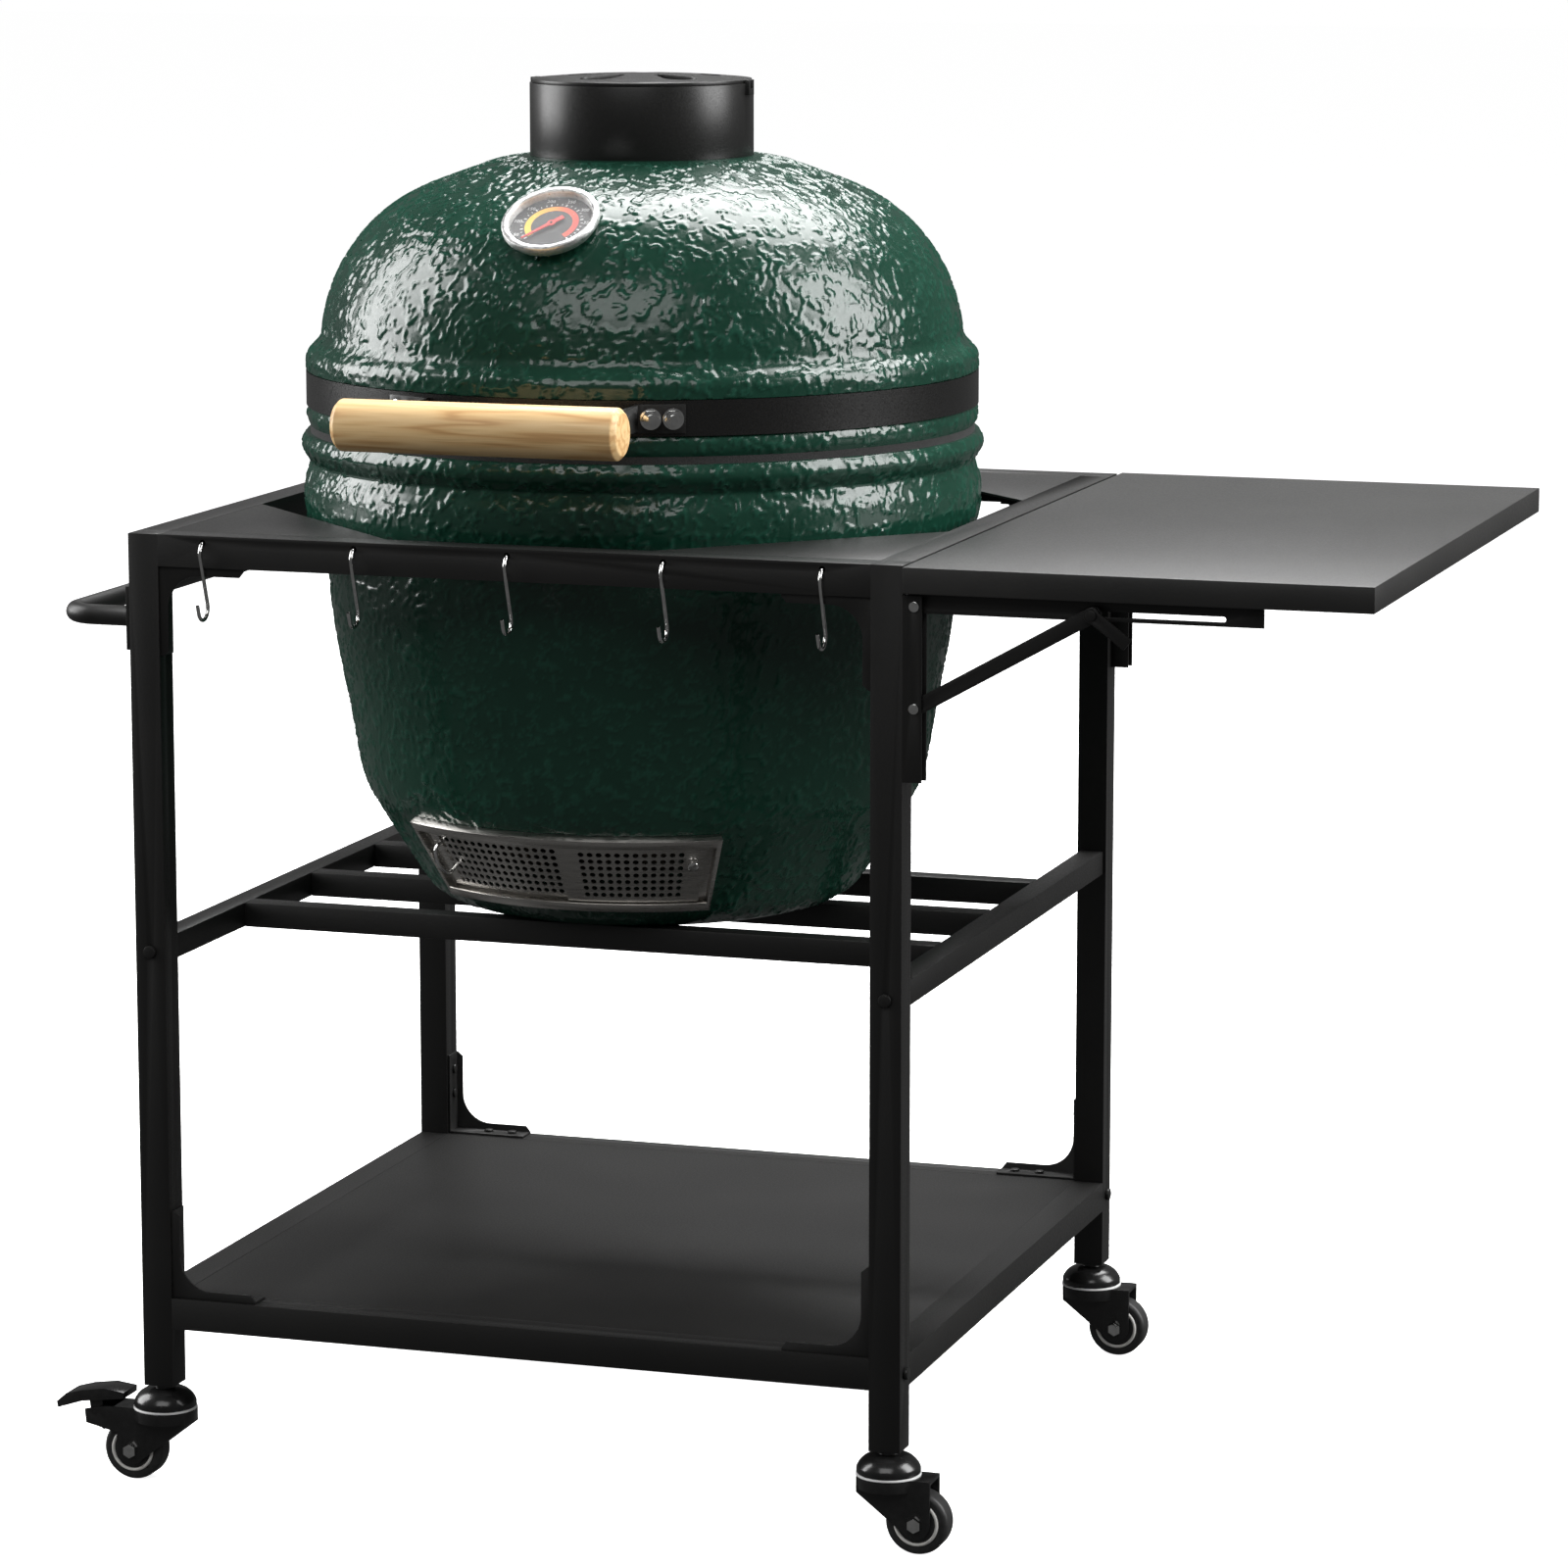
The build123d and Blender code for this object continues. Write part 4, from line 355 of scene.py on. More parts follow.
def clear_glass():
    """Thin flat glass: clear straight through, with a soft gloss."""
    material, tree, shader = finish(
        "gauge_glass", (1, 1, 1), 0.04, IOR=1.45, Alpha=0.07, Specular_IOR_Level=0.5
    )
    haze = grainy(tree, object_place(tree), 60.0, 2.0)
    tree.links.new(spread(tree, haze, 0.03, 0.08), shader.inputs["Roughness"])
    return material


def dial_band():
    """The coloured arc of the gauge, yellow at the left through orange to red at the right."""
    material, tree, shader = finish("dial_band", (0.9, 0.5, 0.05), 0.45)
    where = object_place(tree, location=(-AXIS.x, 0, 0))
    split = tree.nodes.new("ShaderNodeSeparateXYZ")
    tree.links.new(where, split.inputs["Vector"])
    across = spread(tree, split.outputs["X"], 0.0, 1.0, -0.024, 0.024)
    colour = ramp(tree, across, [
        (0.0, (0.95, 0.62, 0.04)), (0.4, (0.9, 0.36, 0.03)),
        (0.62, (0.8, 0.12, 0.03)), (1.0, (0.6, 0.02, 0.02)),
    ])
    tree.links.new(colour, shader.inputs["Base Color"])
    return material


BLACK = powder_coat()
BRACKET_BLACK = powder_coat("bracket_black", 0.012, 0.36)
CAP_BLACK = powder_coat("cap_black", 0.009, 0.34)
BAND_BLACK = powder_coat("band_black", 0.007, 0.3)
TABLE_BLACK = powder_coat("table_black", 0.018, 0.42, 0.45)
GLAZE = green_glaze()
STEEL = brushed_steel("brushed_steel", (0.58, 0.56, 0.53), 0.3)
GAUGE_STEEL = brushed_steel("gauge_steel", (0.90, 0.90, 0.89), 0.34, (400.0, 400.0, 400.0))
BRIGHT = bright_plate()
PINE = pine_wood()
CLAY = speckled("fire_clay", (0.42, 0.34, 0.26), (0.58, 0.49, 0.39), 0.9, 45.0)
IRON = speckled("cast_iron", (0.03, 0.03, 0.03), (0.06, 0.058, 0.055), 0.65, 160.0, 0.5, 0.6)
FELT = speckled("heat_felt", (0.012, 0.012, 0.012), (0.03, 0.03, 0.03), 0.95, 900.0, 0.6)
CASTER = speckled("caster_black", (0.008, 0.008, 0.008), (0.013, 0.013, 0.013), 0.22, 240.0, 0.08)
RUBBER = speckled("wheel_rubber", (0.012, 0.012, 0.012), (0.022, 0.022, 0.022), 0.5, 300.0, 0.2)
CREAM = speckled("wheel_core", (0.62, 0.61, 0.58), (0.74, 0.73, 0.7), 0.45, 130.0, 0.1)
DARK_CORE = speckled("wheel_hub_black", (0.012, 0.012, 0.012), (0.02, 0.02, 0.02), 0.35, 130.0, 0.1)
RACE = speckled("race_ring", (0.78, 0.78, 0.78), (0.9, 0.9, 0.9), 0.35, 120.0, 0.1)
DIAL = speckled("dial_face", (0.014, 0.015, 0.016), (0.024, 0.025, 0.026), 0.4, 120.0, 0.05)
WHITE_PRINT = speckled("dial_print", (0.78, 0.78, 0.78), (0.88, 0.88, 0.88), 0.5, 200.0, 0.02)
NEEDLE_RED = speckled("needle_red", (0.55, 0.02, 0.02), (0.7, 0.04, 0.03), 0.35, 200.0, 0.02)
GLASS = clear_glass()
DIAL_BAND = dial_band()


# ---------------------------------------------------------------- cart
def build_cart():
    """Frame, handle, hooks and side table, each with its own edge width."""
    for node, edge in (
        ("legs", 1.2), ("top_rails", 1.2), ("shelf_rails", 1.2), ("support_rails", 1.2),
        ("cross_bars", 1.2), ("corner_plates", 0.5), ("shelf_panel", 0.6),
        ("corner_gussets", 0.5), ("push_handle", 0.4),
    ):
        made_part(node, BLACK, edge * MM)
    made_part("side_table_top", TABLE_BLACK, 0.9 * MM)
    for node in ("bracket_channels", "slotted_arms", "support_struts"):
        made_part(node, BRACKET_BLACK, 0.3 * MM)
    for side in ("front", "rear"):
        made_part(f"release_lever_{side}", BRACKET_BLACK, 0.4 * MM)
    for node, edge in (("bracket_rivets", 0.5), ("slot_pins", 0.3)):
        made_part(node, BRIGHT, edge * MM)
    for node, edge in (("machine_screws", 0.9), ("frame_bolts", 1.4)):
        made_part(node, BRACKET_BLACK, edge * MM)
    for i in range(1, 6):
        made_part(f"hook_{i}", BRIGHT, 0.3 * MM)


# ---------------------------------------------------------------- casters
RACE_DEPTH = 4 * MM                 # a flatter piece of the fork is its race ring
AXLE_LENGTH, AXLE_DEPTH = 26 * MM, 14 * MM
TYRE_HEIGHT = 45 * MM
RING_SHARE = 0.665                  # of the wheel's radius
RING_WIRE = 1.35 * MM


def build_casters():
    """Stems, and each corner's fork, wheel, pale rings and brake pedal."""
    made_part("caster_stems", CASTER, 0.8 * MM)

    def fork_finish(piece):
        low, high = extent(piece)
        tall = high.z - low.z
        if tall < RACE_DEPTH:
            return RACE, 0.3 * MM
        if high.y - low.y > AXLE_LENGTH and tall < AXLE_DEPTH:
            return BRIGHT, 0.6 * MM
        return CASTER, 0.9 * MM

    def wheel_finish(piece):
        low, high = extent(piece)
        return (RUBBER, 0.4 * MM) if high.z - low.z > TYRE_HEIGHT else (DARK_CORE, 0.6 * MM)

    for corner in CORNERS:
        split_part(f"caster_fork_{corner}", fork_finish)
        split_part(f"caster_wheel_{corner}", wheel_finish)
        wheel_trim(corner)
    for corner in BRAKED:
        made_part(f"brake_pedal_{corner}", CASTER, 1.0 * MM)


def wheel_trim(corner):
    """Pale ring on each face of a wheel, just inside the tyre."""
    low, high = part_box(f"caster_wheel_{corner}")
    centre = (low + high) / 2
    radius = (high.z - low.z) / 2
    for side, y in (("front", low.y), ("back", high.y)):
        clear_selection()
        bpy.ops.mesh.primitive_torus_add(
            major_radius=radius * RING_SHARE, minor_radius=RING_WIRE, major_segments=72, minor_segments=12,
            location=(centre.x, y, centre.z), rotation=(pi / 2, 0, 0),
        )
        ring = settle(bpy.context.object)
        ring.name = f"wheel_ring_{corner}_{side}"
        recalculate(ring)
        smooth(ring, 60)
        paint(ring, CREAM)
        belongs(ring, f"wheel_{corner}")


build_cart()
build_casters()

for node, material in (
    ("fire_box", CLAY), ("fire_ring", CLAY), ("charcoal_grate", IRON), ("cooking_grate", STEEL),
    ("base_gasket", FELT), ("lid_gasket", FELT), ("upper_band", BAND_BLACK), ("thermometer_dial", DIAL),
    ("thermometer_glass", GLASS), ("thermometer_needle", NEEDLE_RED), ("hinge_pin", BRIGHT),
):
    nodes[node].data.materials.clear()
    nodes[node].data.materials.append(material)
made_part("wooden_handle", PINE, 0.8 * MM)
made_part("chimney_cap", CAP_BLACK, 0.8 * MM)
made_part("vent_disk", CAP_BLACK, 0.6 * MM)
made_part("band_bolts", BRIGHT, 0.4 * MM)
made_part("hinge_bolts", BRIGHT, 0.4 * MM)
made_part("handle_brackets", BRACKET_BLACK, 0.4 * MM)
made_part("hinge_lid_bracket", BRACKET_BLACK, 0.5 * MM)
made_part("hinge_base_bracket", BRACKET_BLACK, 0.5 * MM)
made_part("thermometer_case", GAUGE_STEEL, 1.0 * MM)
made_part("draft_frame", STEEL, 0.3 * MM)


# ---------------------------------------------------------------- draft doors
CONE_FOOT_RADIUS = 182.0 * MM       # of the doors' cone at its foot
CONE_MIDDLE_RADIUS = 205.0 * MM     # at half the doors' height, where the flat sheet is laid out
CONE_TILT = radians(58.24)          # of the cone's side above level
CONE_FOOT = base_box[0].z + BASE_FLOOR
HOLE_PITCH = 7.0 * MM
HOLE_INSET = 1.25 * MM
HOLE_CORNER = HOLE_PITCH * 0.19
LARGEST_HOLE = 40e-6                # square metres; a larger eight-sided face isn't a hole
DOOR_SHEET = 1.2 * MM
DOOR_EDGES = (2.0 * MM, 72.1 * MM)  # up the cone
HOLE_ROWS = (12.5 * MM, 61.5 * MM)
SCREEN_TRACK = 2.1 * MM             # distance outside the cone
FRONT_TRACK = 4.3 * MM
HANDLE_ANGLE = radians(-29.0)
HANDLE_ENDS = (30.0 * MM, 56.0 * MM)
HANDLE_BEND = 4.0 * MM
HANDLE_WIRE = 1.5 * MM
KNOB_ANGLE = radians(29.5)
KNOB_UP = 48.9 * MM
KNOB_RADIUS = 4.5 * MM


def on_cone(angle, s, d):
    """A place on the door's cone: angle from the front, way up the cone, distance outside it."""
    radius = CONE_FOOT_RADIUS + s * cos(CONE_TILT) + d * sin(CONE_TILT)
    z = CONE_FOOT + s * sin(CONE_TILT) - d * cos(CONE_TILT)
    return Vector((AXIS.x + radius * sin(angle), AXIS.y - radius * cos(angle), z))


def perforated_door(node, track, span, holes_across):
    """Sheet bent to the cone with rows of eight-sided holes inside a plain margin."""
    first, last = (radians(a) for a in span)
    low, high = DOOR_EDGES
    start, end = (radians(a) for a in holes_across)
    columns = round((end - start) * CONE_MIDDLE_RADIUS / HOLE_PITCH)
    bottom, top = HOLE_ROWS
    rows = round((top - bottom) / HOLE_PITCH)
    clear_selection()
    bpy.ops.mesh.primitive_grid_add(
        x_subdivisions=columns + 2, y_subdivisions=rows + 2, size=2, location=(0, 0, 0)
    )
    sheet = bpy.context.object
    sheet.name = f"{node}_sheet"

    def share_to(value, count, edges):
        """Grid coordinate to a place, the outer cells holding the plain margins."""
        cell = (value + 1) / 2 * (count + 2)
        outer_low, inner_low, inner_high, outer_high = edges
        if cell <= 1:
            return outer_low + (inner_low - outer_low) * cell
        if cell >= count + 1:
            return inner_high + (outer_high - inner_high) * (cell - count - 1)
        return inner_low + (inner_high - inner_low) * (cell - 1) / count

    for v in sheet.data.vertices:
        v.co.x = share_to(v.co.x, columns, (first, start, end, last)) * CONE_MIDDLE_RADIUS
        v.co.y = share_to(v.co.y, rows, (low, bottom, top, high))
    edit(sheet, "FACE")
    bpy.ops.mesh.select_all(action="DESELECT")
    leave_edit()
    for face in sheet.data.polygons:
        x, y = face.center.x / CONE_MIDDLE_RADIUS, face.center.y
        face.select = start < x < end and bottom < y < top
    bpy.ops.object.mode_set(mode="EDIT")
    bpy.ops.mesh.inset(thickness=HOLE_INSET, use_individual=True)
    bpy.ops.mesh.bevel(offset=HOLE_CORNER, segments=1, affect="VERTICES")
    leave_edit()
    for face in sheet.data.polygons:
        face.select = len(face.vertices) == 8 and face.area < LARGEST_HOLE
    bpy.ops.object.mode_set(mode="EDIT")
    bpy.ops.mesh.delete(type="FACE")
    leave_edit()
    for v in sheet.data.vertices:
        v.co = on_cone(v.co.x / CONE_MIDDLE_RADIUS, v.co.y, track + DOOR_SHEET)
    recalculate(sheet)
    middle = sheet.data.polygons[0]
    outward = Vector((middle.center.x - AXIS.x, middle.center.y - AXIS.y, 0))
    if middle.normal.dot(outward) < 0:
        edit(sheet)
        bpy.ops.mesh.flip_normals()
        leave_edit()
    thick = sheet.modifiers.new("sheet", "SOLIDIFY")
    thick.thickness = DOOR_SHEET
    thick.offset = -1
    apply_all(sheet)
    smooth(sheet, 30)
    paint(sheet, STEEL)
    return belongs(sheet, node, (node,))


def screen_handle():
    """Bent wire handle of the inner door."""
    foot, reach = 2.7 * MM, 15.3 * MM
    low, high = HANDLE_ENDS
    wire = bpy.data.curves.new("screen_wire", "CURVE")
    wire.dimensions = "3D"
    wire.bevel_depth = HANDLE_WIRE
    wire.bevel_resolution = 4
    wire.use_fill_caps = True
    spline = wire.splines.new("BEZIER")
    route = (
        (low, foot), (low, reach - HANDLE_BEND), (low + HANDLE_BEND, reach),
        (high - HANDLE_BEND, reach), (high, reach - HANDLE_BEND), (high, foot),
    )
    spline.bezier_points.add(len(route) - 1)
    for point, (up, out) in zip(spline.bezier_points, route):
        point.co = on_cone(HANDLE_ANGLE, up, out)
        point.handle_left_type = point.handle_right_type = "AUTO"
    obj = bpy.data.objects.new("screen_door_wire", wire)
    bpy.context.scene.collection.objects.link(obj)
    pick(obj)
    bpy.ops.object.convert(target="MESH")
    obj = bpy.context.object
    recalculate(obj)
    smooth(obj, 50)
    paint(obj, BRIGHT)
    return belongs(obj, "screen_door", ("screen_door",))


def door_knob():
    """Turned knob of the outer door."""
    foot = on_cone(KNOB_ANGLE, KNOB_UP, 5.3 * MM)
    tip = on_cone(KNOB_ANGLE, KNOB_UP, 10.5 * MM)
    clear_selection()
    bpy.ops.mesh.primitive_cylinder_add(
        vertices=32, radius=KNOB_RADIUS, depth=(tip - foot).length, location=(foot + tip) / 2,
        rotation=(tip - foot).to_track_quat("Z", "Y").to_euler(),
    )
    knob = settle(bpy.context.object)
    knob.name = "front_door_knob"
    round_edges(knob, 1.2 * MM, 3, 60)
    paint(knob, BRIGHT)
    return belongs(knob, "front_door", ("front_door",))


perforated_door("screen_door", SCREEN_TRACK, (-33.0, 3.0), (-30.5, 0.5))
screen_handle()
perforated_door("front_door", FRONT_TRACK, (1.0, 32.0), (5.0, 28.0))
door_knob()

# ---------------------------------------------------------------- dial
GAUGE_TILT = radians(35)
DIAL_FACE = -4.1 * MM      # from the middle of the glass down to the dial's face
gauge_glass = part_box("thermometer_glass")
GAUGE_MIDDLE = (gauge_glass[0] + gauge_glass[1]) / 2
GAUGE_PLACE = Matrix.Translation(GAUGE_MIDDLE) @ Matrix.Rotation(GAUGE_TILT, 4, "X")
ARC_START, ARC_SWEEP = radians(225), radians(-270)
INK = 0.12 * MM            # thickness of the print
TICKS = 28
NUMBER_HEIGHT = 4.6 * MM
NUMBER_REACH = 28.6 * MM


def on_dial(obj):
    """Carry a flat print from the origin to the dial's face."""
    obj.data.transform(GAUGE_PLACE @ Matrix.Translation((0, 0, DIAL_FACE)))
    obj.data.update()
    belongs(obj, "lid")
    return obj


def dial_sector(name, inner, outer, start, sweep, steps, material):
    """Flat ring sector printed on the dial."""
    mesh = bpy.data.meshes.new(name)
    obj = bpy.data.objects.new(name, mesh)
    bpy.context.scene.collection.objects.link(obj)
    low, high = (Vector((r * cos(start), r * sin(start), 0)) for r in (inner, outer))
    mesh.from_pydata([low, high], [(0, 1)], [])
    edit(obj)
    bpy.ops.mesh.spin(steps=steps, angle=-sweep, center=(0, 0, 0), axis=(0, 0, 1), dupli=False)
    leave_edit()
    sheet = obj.modifiers.new("ink", "SOLIDIFY")
    sheet.thickness = INK
    sheet.offset = 0
    apply_all(obj)
    recalculate(obj)
    paint(obj, material)
    return on_dial(obj)


def dial_number(text, angle):
    """Upright number outside the ticks."""
    clear_selection()
    bpy.ops.object.text_add(location=(0, 0, 0))
    obj = bpy.context.object
    obj.name = f"dial_number_{text}"
    obj.data.body = text
    obj.data.size = NUMBER_HEIGHT
    obj.data.extrude = INK / 2
    obj.data.align_x, obj.data.align_y = "CENTER", "CENTER"
    obj.data.resolution_u = 3
    bpy.ops.object.convert(target="MESH")
    obj = bpy.context.object
    obj.data.transform(Matrix.Translation((NUMBER_REACH * cos(angle), NUMBER_REACH * sin(angle), 0)))
    recalculate(obj)
    paint(obj, WHITE_PRINT)
    return on_dial(obj)


def gauge_print():
    """Coloured arc, ticks and numbers of the thermometer."""
    dial_sector("dial_arc", 16.5 * MM, 21.5 * MM, ARC_START, ARC_SWEEP, 54, DIAL_BAND)
    for i in range(TICKS):
        angle = ARC_START + ARC_SWEEP * i / (TICKS - 1)
        inner, width = (22.6 * MM, 2.6) if i % 3 == 0 else (23.4 * MM, 1.4)
        dial_sector(f"dial_tick_{i + 1}", inner, 25.0 * MM, angle, radians(width), 1, WHITE_PRINT)
    for i, value in enumerate(range(50, 401, 50)):
        dial_number(str(value), ARC_START + ARC_SWEEP * (i + 0.5) / 8)


gauge_print()

# ---------------------------------------------------------------- glazed ceramic
RELIEF_HEIGHT = 0.95 * MM
RELIEF_CELL = 9.5 * MM
RELIEF_WIDTH = 0.16
RELIEF_EASE = 5.0 * MM     # how far the relief takes to rise from an edge
RELIEF_SEED = 7            # without it the noise would start from the clock
SECTORS = 3
PORT_HALF_ANGLE = radians(26)
PORT_MIDDLE, PORT_HALF_HEIGHT = 37 * MM, 23 * MM     # up the doors' cone
COARSER = 1.0
noise.seed_set(RELIEF_SEED)


def eased(value, low, high):
    share = min(max((value - low) / (high - low), 0.0), 1.0)
    return share * share * (3 - 2 * share)


def worm_relief(point):
    """0 to 1: short raised worms that wander over the surface and break off."""
    q = point / RELIEF_CELL
    q = q + 0.45 * noise.noise_vector(q * 1.6)
    line = 1 - abs(noise.noise(q)) / RELIEF_WIDTH
    if line <= 0:
        return 0.0
    whole = eased(noise.noise(q * 0.8 + Vector((31, 7, 19))), -0.32, -0.12)
    return eased(line, 0.0, 0.75) * whole


def meridian(node, heights, inside=False):
    """(radius, height) of a turned CAD part's wall, felt by rays at many heights."""
    out = []
    for z in heights:
        if inside:
            start, way = AXIS + Vector((0, 0, z)), Vector((-1, 0, 0))
        else:
            start, way = AXIS + Vector((-0.6, 0, z)), Vector((1, 0, 0))
        hit, place, _, _ = nodes[node].ray_cast(start, way)
        if hit:
            out.append((abs(place.x - AXIS.x), z))
    return out


def spaced(points, step):
    """The same line with points at an even spacing."""
    run = [0.0]
    for (r0, z0), (r1, z1) in zip(points, points[1:]):
        run.append(run[-1] + hypot(r1 - r0, z1 - z0))
    count = max(2, round(run[-1] / step))
    out, k = [], 0
    for i in range(count + 1):
        want = run[-1] * i / count
        while k < len(run) - 2 and run[k + 1] < want:
            k += 1
        share = (want - run[k]) / max(run[k + 1] - run[k], 1e-12)
        (r0, z0), (r1, z1) = points[k], points[k + 1]
        out.append((r0 + share * (r1 - r0), z0 + share * (z1 - z0)))
    return out


def levels(low, high, step):
    count = max(1, round((high - low) / step))
    return [low + (high - low) * i / count for i in range(count + 1)]


def turned_sector(name, outer, rest, first, arc, step):
    """Closed wedge of a turned wall: a closed outline spun part of the way round the axis."""
    outline = outer + rest
    mesh = bpy.data.meshes.new(name)
    obj = bpy.data.objects.new(name, mesh)
    bpy.context.scene.collection.objects.link(obj)
    start = [(AXIS.x + r * sin(first), AXIS.y - r * cos(first), z) for r, z in outline]
    count = len(outline)
    mesh.from_pydata(start, [(i, (i + 1) % count) for i in range(count)], [])
    edit(obj)
    bpy.ops.mesh.edge_face_add()
    reach = max(r for r, _ in outer)
    steps = round(arc * reach / step)
    bpy.ops.mesh.spin(steps=steps, angle=-arc, center=AXIS, axis=(0, 0, 1), dupli=False)
    leave_edit()
    recalculate(obj)
    return obj


def raise_relief(obj, low, high, radius_at, flat=()):
    """Lift the outer wall's vertices along their normals and keep the height for the glaze's painted
    highlight and shade.
    """
    mesh = obj.data
    ways = [v.normal.copy() for v in mesh.vertices]
    places = [v.co.copy() for v in mesh.vertices]
    rises = [0.0] * len(places)
    for i, p in enumerate(places):
        r = hypot(p.x - AXIS.x, p.y - AXIS.y)
        if not low < p.z < high or r < radius_at(p.z) - 0.4 * MM:
            continue
        rise = worm_relief(p)
        rise *= eased(p.z, low, low + RELIEF_EASE) * (1 - eased(p.z, high - RELIEF_EASE * 0.4, high))
        for near, far in flat:
            if near - 2 * MM < p.z < far + 2 * MM:
                rise = 0.0
        rises[i] = rise
        places[i] = p + ways[i] * RELIEF_HEIGHT * rise
    mesh.vertices.foreach_set("co", [c for p in places for c in p])
    store = mesh.attributes.new("relief", "FLOAT", "POINT")
    store.data.foreach_set("value", rises)
    mesh.update()


def wall_reader(points):
    table = sorted((z, r) for r, z in points)

    def radius_at(z):
        low, high = 0, len(table) - 1
        while high - low > 1:
            middle = (low + high) // 2
            if table[middle][0] <= z:
                low = middle
            else:
                high = middle
        (z0, r0), (z1, r1) = table[low], table[high]
        share = (z - z0) / max(z1 - z0, 1e-9)
        return r0 + (r1 - r0) * min(max(share, 0), 1)

    return radius_at


def ceramic_wall(name, node, outer, rest, body, step, flat=()):
    step *= COARSER
    radius_at = wall_reader(outer)
    low, high = min(z for _, z in outer), max(z for _, z in outer)
    made = []
    for i in range(SECTORS):
        first = -2 * pi * (i + 0.5) / SECTORS
        obj = turned_sector(f"{name}_{i + 1}", outer, rest, first, 2 * pi / SECTORS, step)
        raise_relief(obj, low, high, radius_at, flat)
        smooth(obj, 60)
        paint(obj, GLAZE)
        made.append(belongs(obj, body, (node,)))
    return made


def build_lid():
    """Dome of the lid, smooth under its steel band."""
    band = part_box("upper_band")
    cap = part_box("chimney_cap")
    low, shoulder = lid_box[0].z, cap[0].z
    wall = meridian("ceramic_lid", levels(low + 0.2 * MM, shoulder - 0.1 * MM, 0.25 * MM))
    outer = spaced([(wall[0][0], low), *wall, (wall[-1][0] - 0.3 * MM, shoulder)], 1.55 * MM * COARSER)
    inner = meridian("ceramic_lid", levels(low + 1 * MM, shoulder - 26 * MM, 9 * MM), inside=True)
    chimney = 60 * MM
    rest = [(chimney, shoulder), (chimney, shoulder - 17 * MM)]
    rest += list(reversed(inner)) + [(inner[0][0], low)]
    flat = ((band[0].z, band[1].z),)
    return ceramic_wall("lid_ceramic", "ceramic_lid", outer, rest, "lid", 1.75 * MM, flat)


def build_base():
    """Bowl below the shoulder and ring above it, with the draft port cut through the front."""
    low, high = base_box[0].z, base_box[1].z
    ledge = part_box("cooking_grate")[0].z + 3 * MM
    wall = meridian("ceramic_base", levels(low + 0.2 * MM, high - 0.2 * MM, 0.25 * MM))
    below = [p for p in wall if p[1] < ledge - 1 * MM]
    above = [p for p in wall if p[1] > ledge + 0.5 * MM]
    foot = 150 * MM
    inner = meridian("ceramic_base", levels(low + 26 * MM, ledge - 2 * MM, 14 * MM), inside=True)
    bowl_outer = spaced([(foot, low), *below, (below[-1][0], ledge)], 2.0 * MM * COARSER)
    floor = low + BASE_FLOOR
    rest = [(inner[-1][0], ledge), *reversed(inner), (inner[0][0], floor), (40 * MM, floor), (40 * MM, low)]
    bowl = ceramic_wall("base_bowl", "ceramic_base", bowl_outer, rest, "cart_and_base", 2.1 * MM)
    rim = 236 * MM
    ring_outer = spaced([(below[-1][0], ledge), *above, (above[-1][0], high)], 1.55 * MM * COARSER)
    ceramic_wall(
        "base_ring", "ceramic_base", ring_outer, [(rim, high), (rim, ledge)], "cart_and_base", 1.7 * MM
    )
    cut_port(bowl[0])


def cut_port(bowl):
    """Air port behind the draft doors, cut through the wall by a wedge that is then taken away."""
    clear_selection()
    bpy.ops.mesh.primitive_grid_add(x_subdivisions=16, y_subdivisions=1, size=2, location=(0, 0, 0))
    wedge = bpy.context.object
    outside, inside = 3 * MM, -42 * MM
    for v in wedge.data.vertices:
        v.co = on_cone(v.co.x * PORT_HALF_ANGLE, PORT_MIDDLE + PORT_HALF_HEIGHT * v.co.y, outside)
    edit(wedge, "FACE")
    bpy.ops.mesh.extrude_region_move(TRANSFORM_OT_translate={"value": (0, 0, 0)})
    leave_edit()
    for v in wedge.data.vertices:
        if v.select:
            r = hypot(v.co.x - AXIS.x, v.co.y - AXIS.y)
            back = Vector((AXIS.x - v.co.x, AXIS.y - v.co.y, 0)) / r
            v.co += back * (outside - inside) * sin(CONE_TILT)
            v.co.z += (outside - inside) * cos(CONE_TILT)
    recalculate(wedge)
    cut = bowl.modifiers.new("port", "BOOLEAN")
    cut.operation = "DIFFERENCE"
    cut.object = wedge
    cut.solver = "EXACT"
    apply_all(bowl)
    bpy.data.objects.remove(wedge)


build_lid()
build_base()


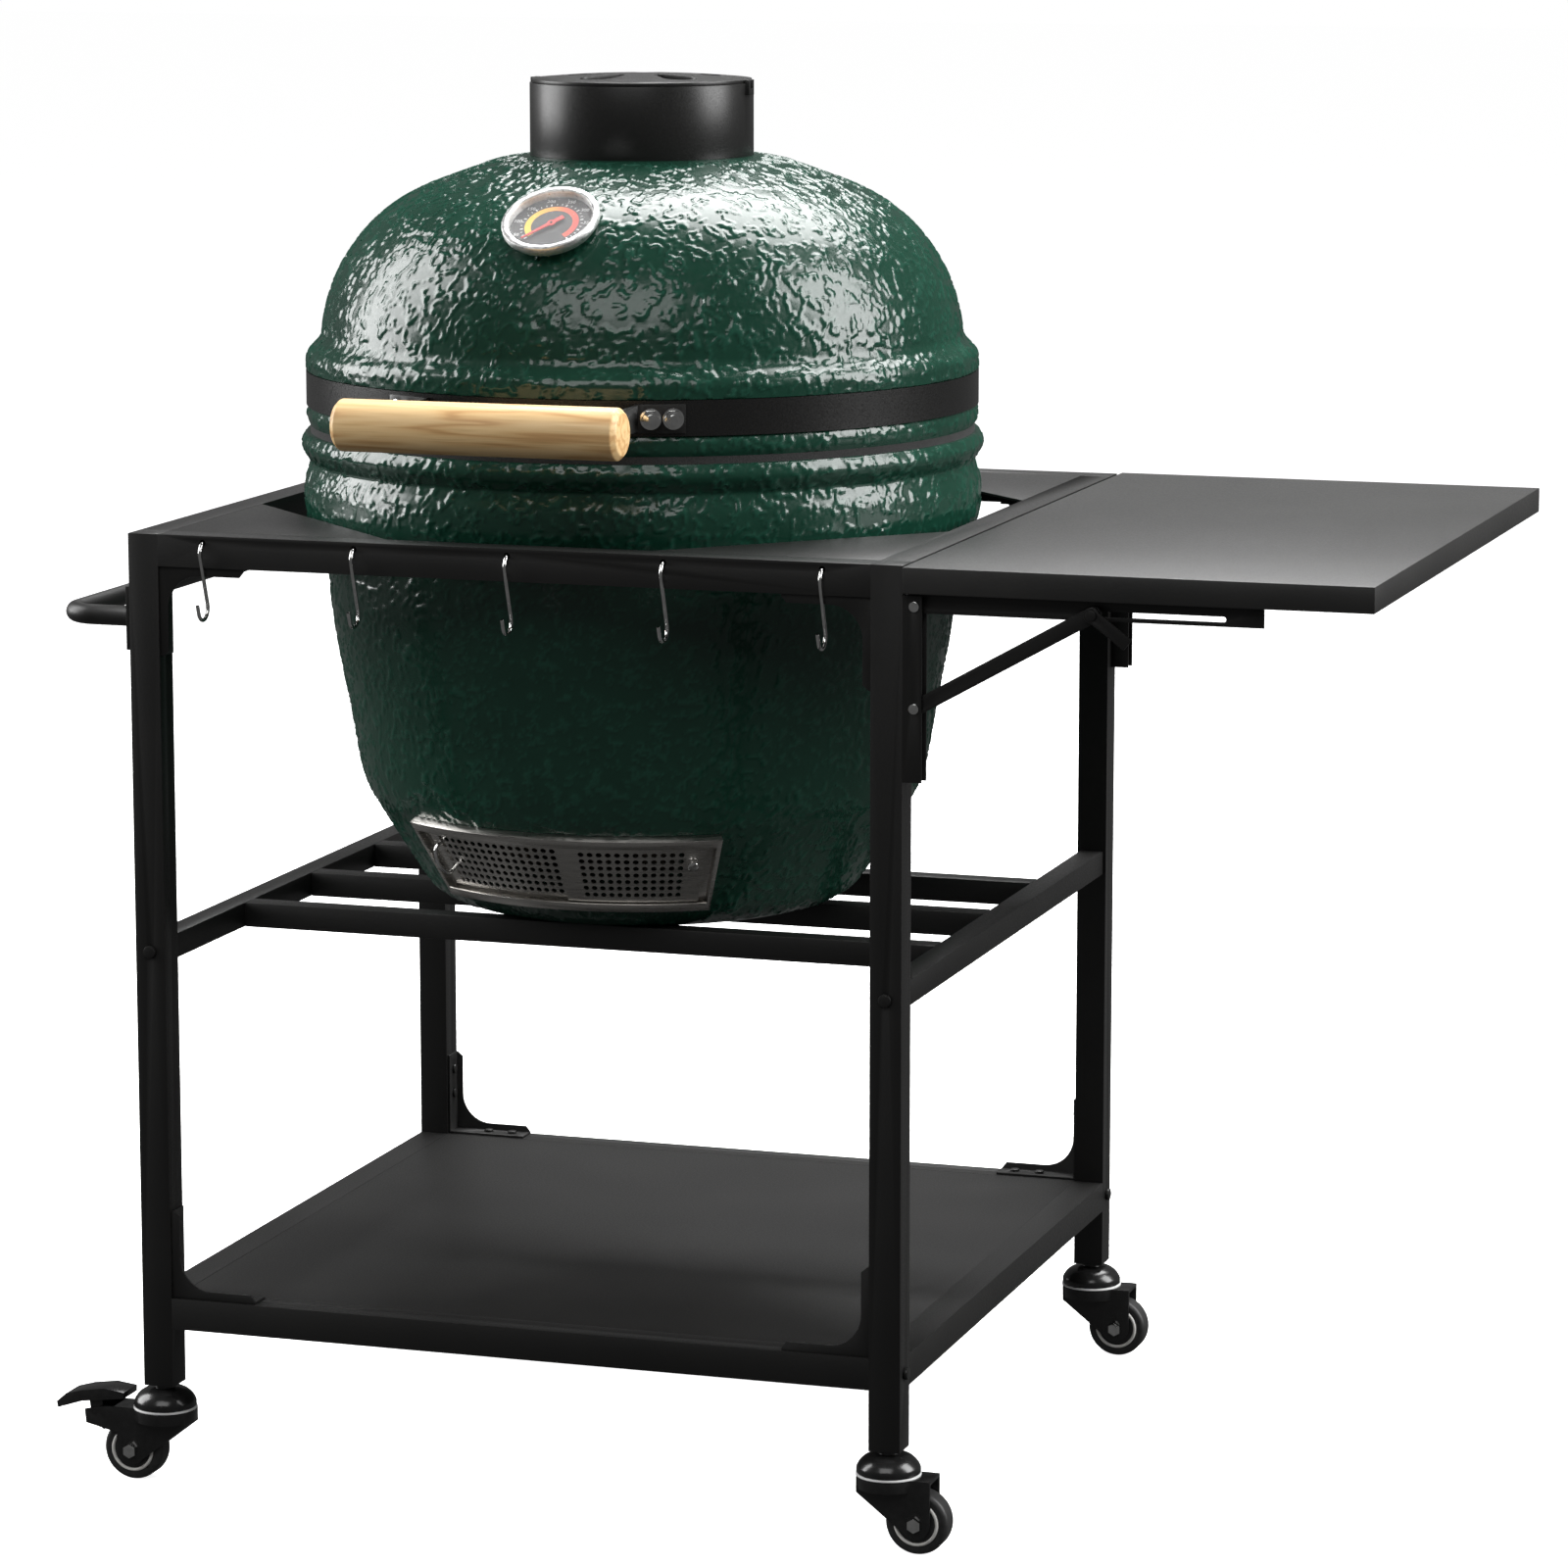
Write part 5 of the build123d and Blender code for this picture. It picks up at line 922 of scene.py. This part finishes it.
# ---------------------------------------------------------------- studio
def studio_world():
    """White all round as a backdrop, and a much dimmer fill as light."""
    world = bpy.data.worlds.new("studio_world")
    world.use_nodes = True
    tree = world.node_tree
    fill = tree.nodes["Background"]
    fill.inputs["Color"].default_value = (1, 1, 1, 1)
    fill.inputs["Strength"].default_value = FILL
    backdrop = tree.nodes.new("ShaderNodeBackground")
    backdrop.inputs["Color"].default_value = (1, 1, 1, 1)
    backdrop.inputs["Strength"].default_value = 1.0
    seen = tree.nodes.new("ShaderNodeLightPath")
    mix = tree.nodes.new("ShaderNodeMixShader")
    tree.links.new(seen.outputs["Is Camera Ray"], mix.inputs["Fac"])
    tree.links.new(fill.outputs["Background"], mix.inputs[1])
    tree.links.new(backdrop.outputs["Background"], mix.inputs[2])
    tree.links.new(mix.outputs["Shader"], tree.nodes["World Output"].inputs["Surface"])
    return world


FILL = 0.10                # strength of the dim light from all round
FLOOR_GLOW = 0.9
LAMP_TARGET = Vector((0, 0, 0.6))
CAMERA_PLACE = (1.3955, -4.3608, 1.3233)
CAMERA_DOWN, CAMERA_TURN = 9.702, 17.984     # degrees below level, and round from the front
CAMERA_LENS = 131.41
LAMPS = (
    # name, place, size, power
    ("key_left", (-3.8, -0.2, 2.2), (2.4, 3.2), 210),
    ("rim_right", (3.6, 0.6, 2.6), (2.2, 3.2), 250),
    ("top", (0.2, 1.9, 4.2), (3.6, 2.6), 330),
    ("front", (0.4, -4.6, 4.6), (4.4, 3.0), 130),
)


def build_studio():
    """White floor and four soft lamps."""
    clear_selection()
    bpy.ops.mesh.primitive_plane_add(size=60, location=(0, 0, 0))
    floor = bpy.context.object
    floor.name = "studio_floor"
    floor_white, _, shader = finish("studio_white", (0.93, 0.93, 0.93), 0.8, Specular_IOR_Level=0.1)
    shader.inputs["Emission Color"].default_value = (1, 1, 1, 1)
    shader.inputs["Emission Strength"].default_value = FLOOR_GLOW
    paint(floor, floor_white)
    floor.visible_glossy = False
    floor.visible_diffuse = False
    bpy.context.scene.world = studio_world()
    for name, place, size, power in LAMPS:
        bpy.ops.object.light_add(type="AREA", location=place)
        lamp = bpy.context.object
        lamp.name = name
        lamp.data.shape = "RECTANGLE"
        lamp.data.size, lamp.data.size_y = size
        lamp.data.energy = power
        lamp.rotation_euler = (LAMP_TARGET - Vector(place)).to_track_quat("-Z", "Y").to_euler()


def build_camera():
    bpy.ops.object.camera_add(
        location=CAMERA_PLACE, rotation=(radians(90 - CAMERA_DOWN), 0, radians(CAMERA_TURN))
    )
    camera = bpy.context.object
    camera.data.sensor_width = 36
    camera.data.lens = CAMERA_LENS
    camera.data.clip_end = 100
    bpy.context.scene.camera = camera


build_camera()
build_studio()
bpy.context.scene.view_settings.view_transform = "Standard"
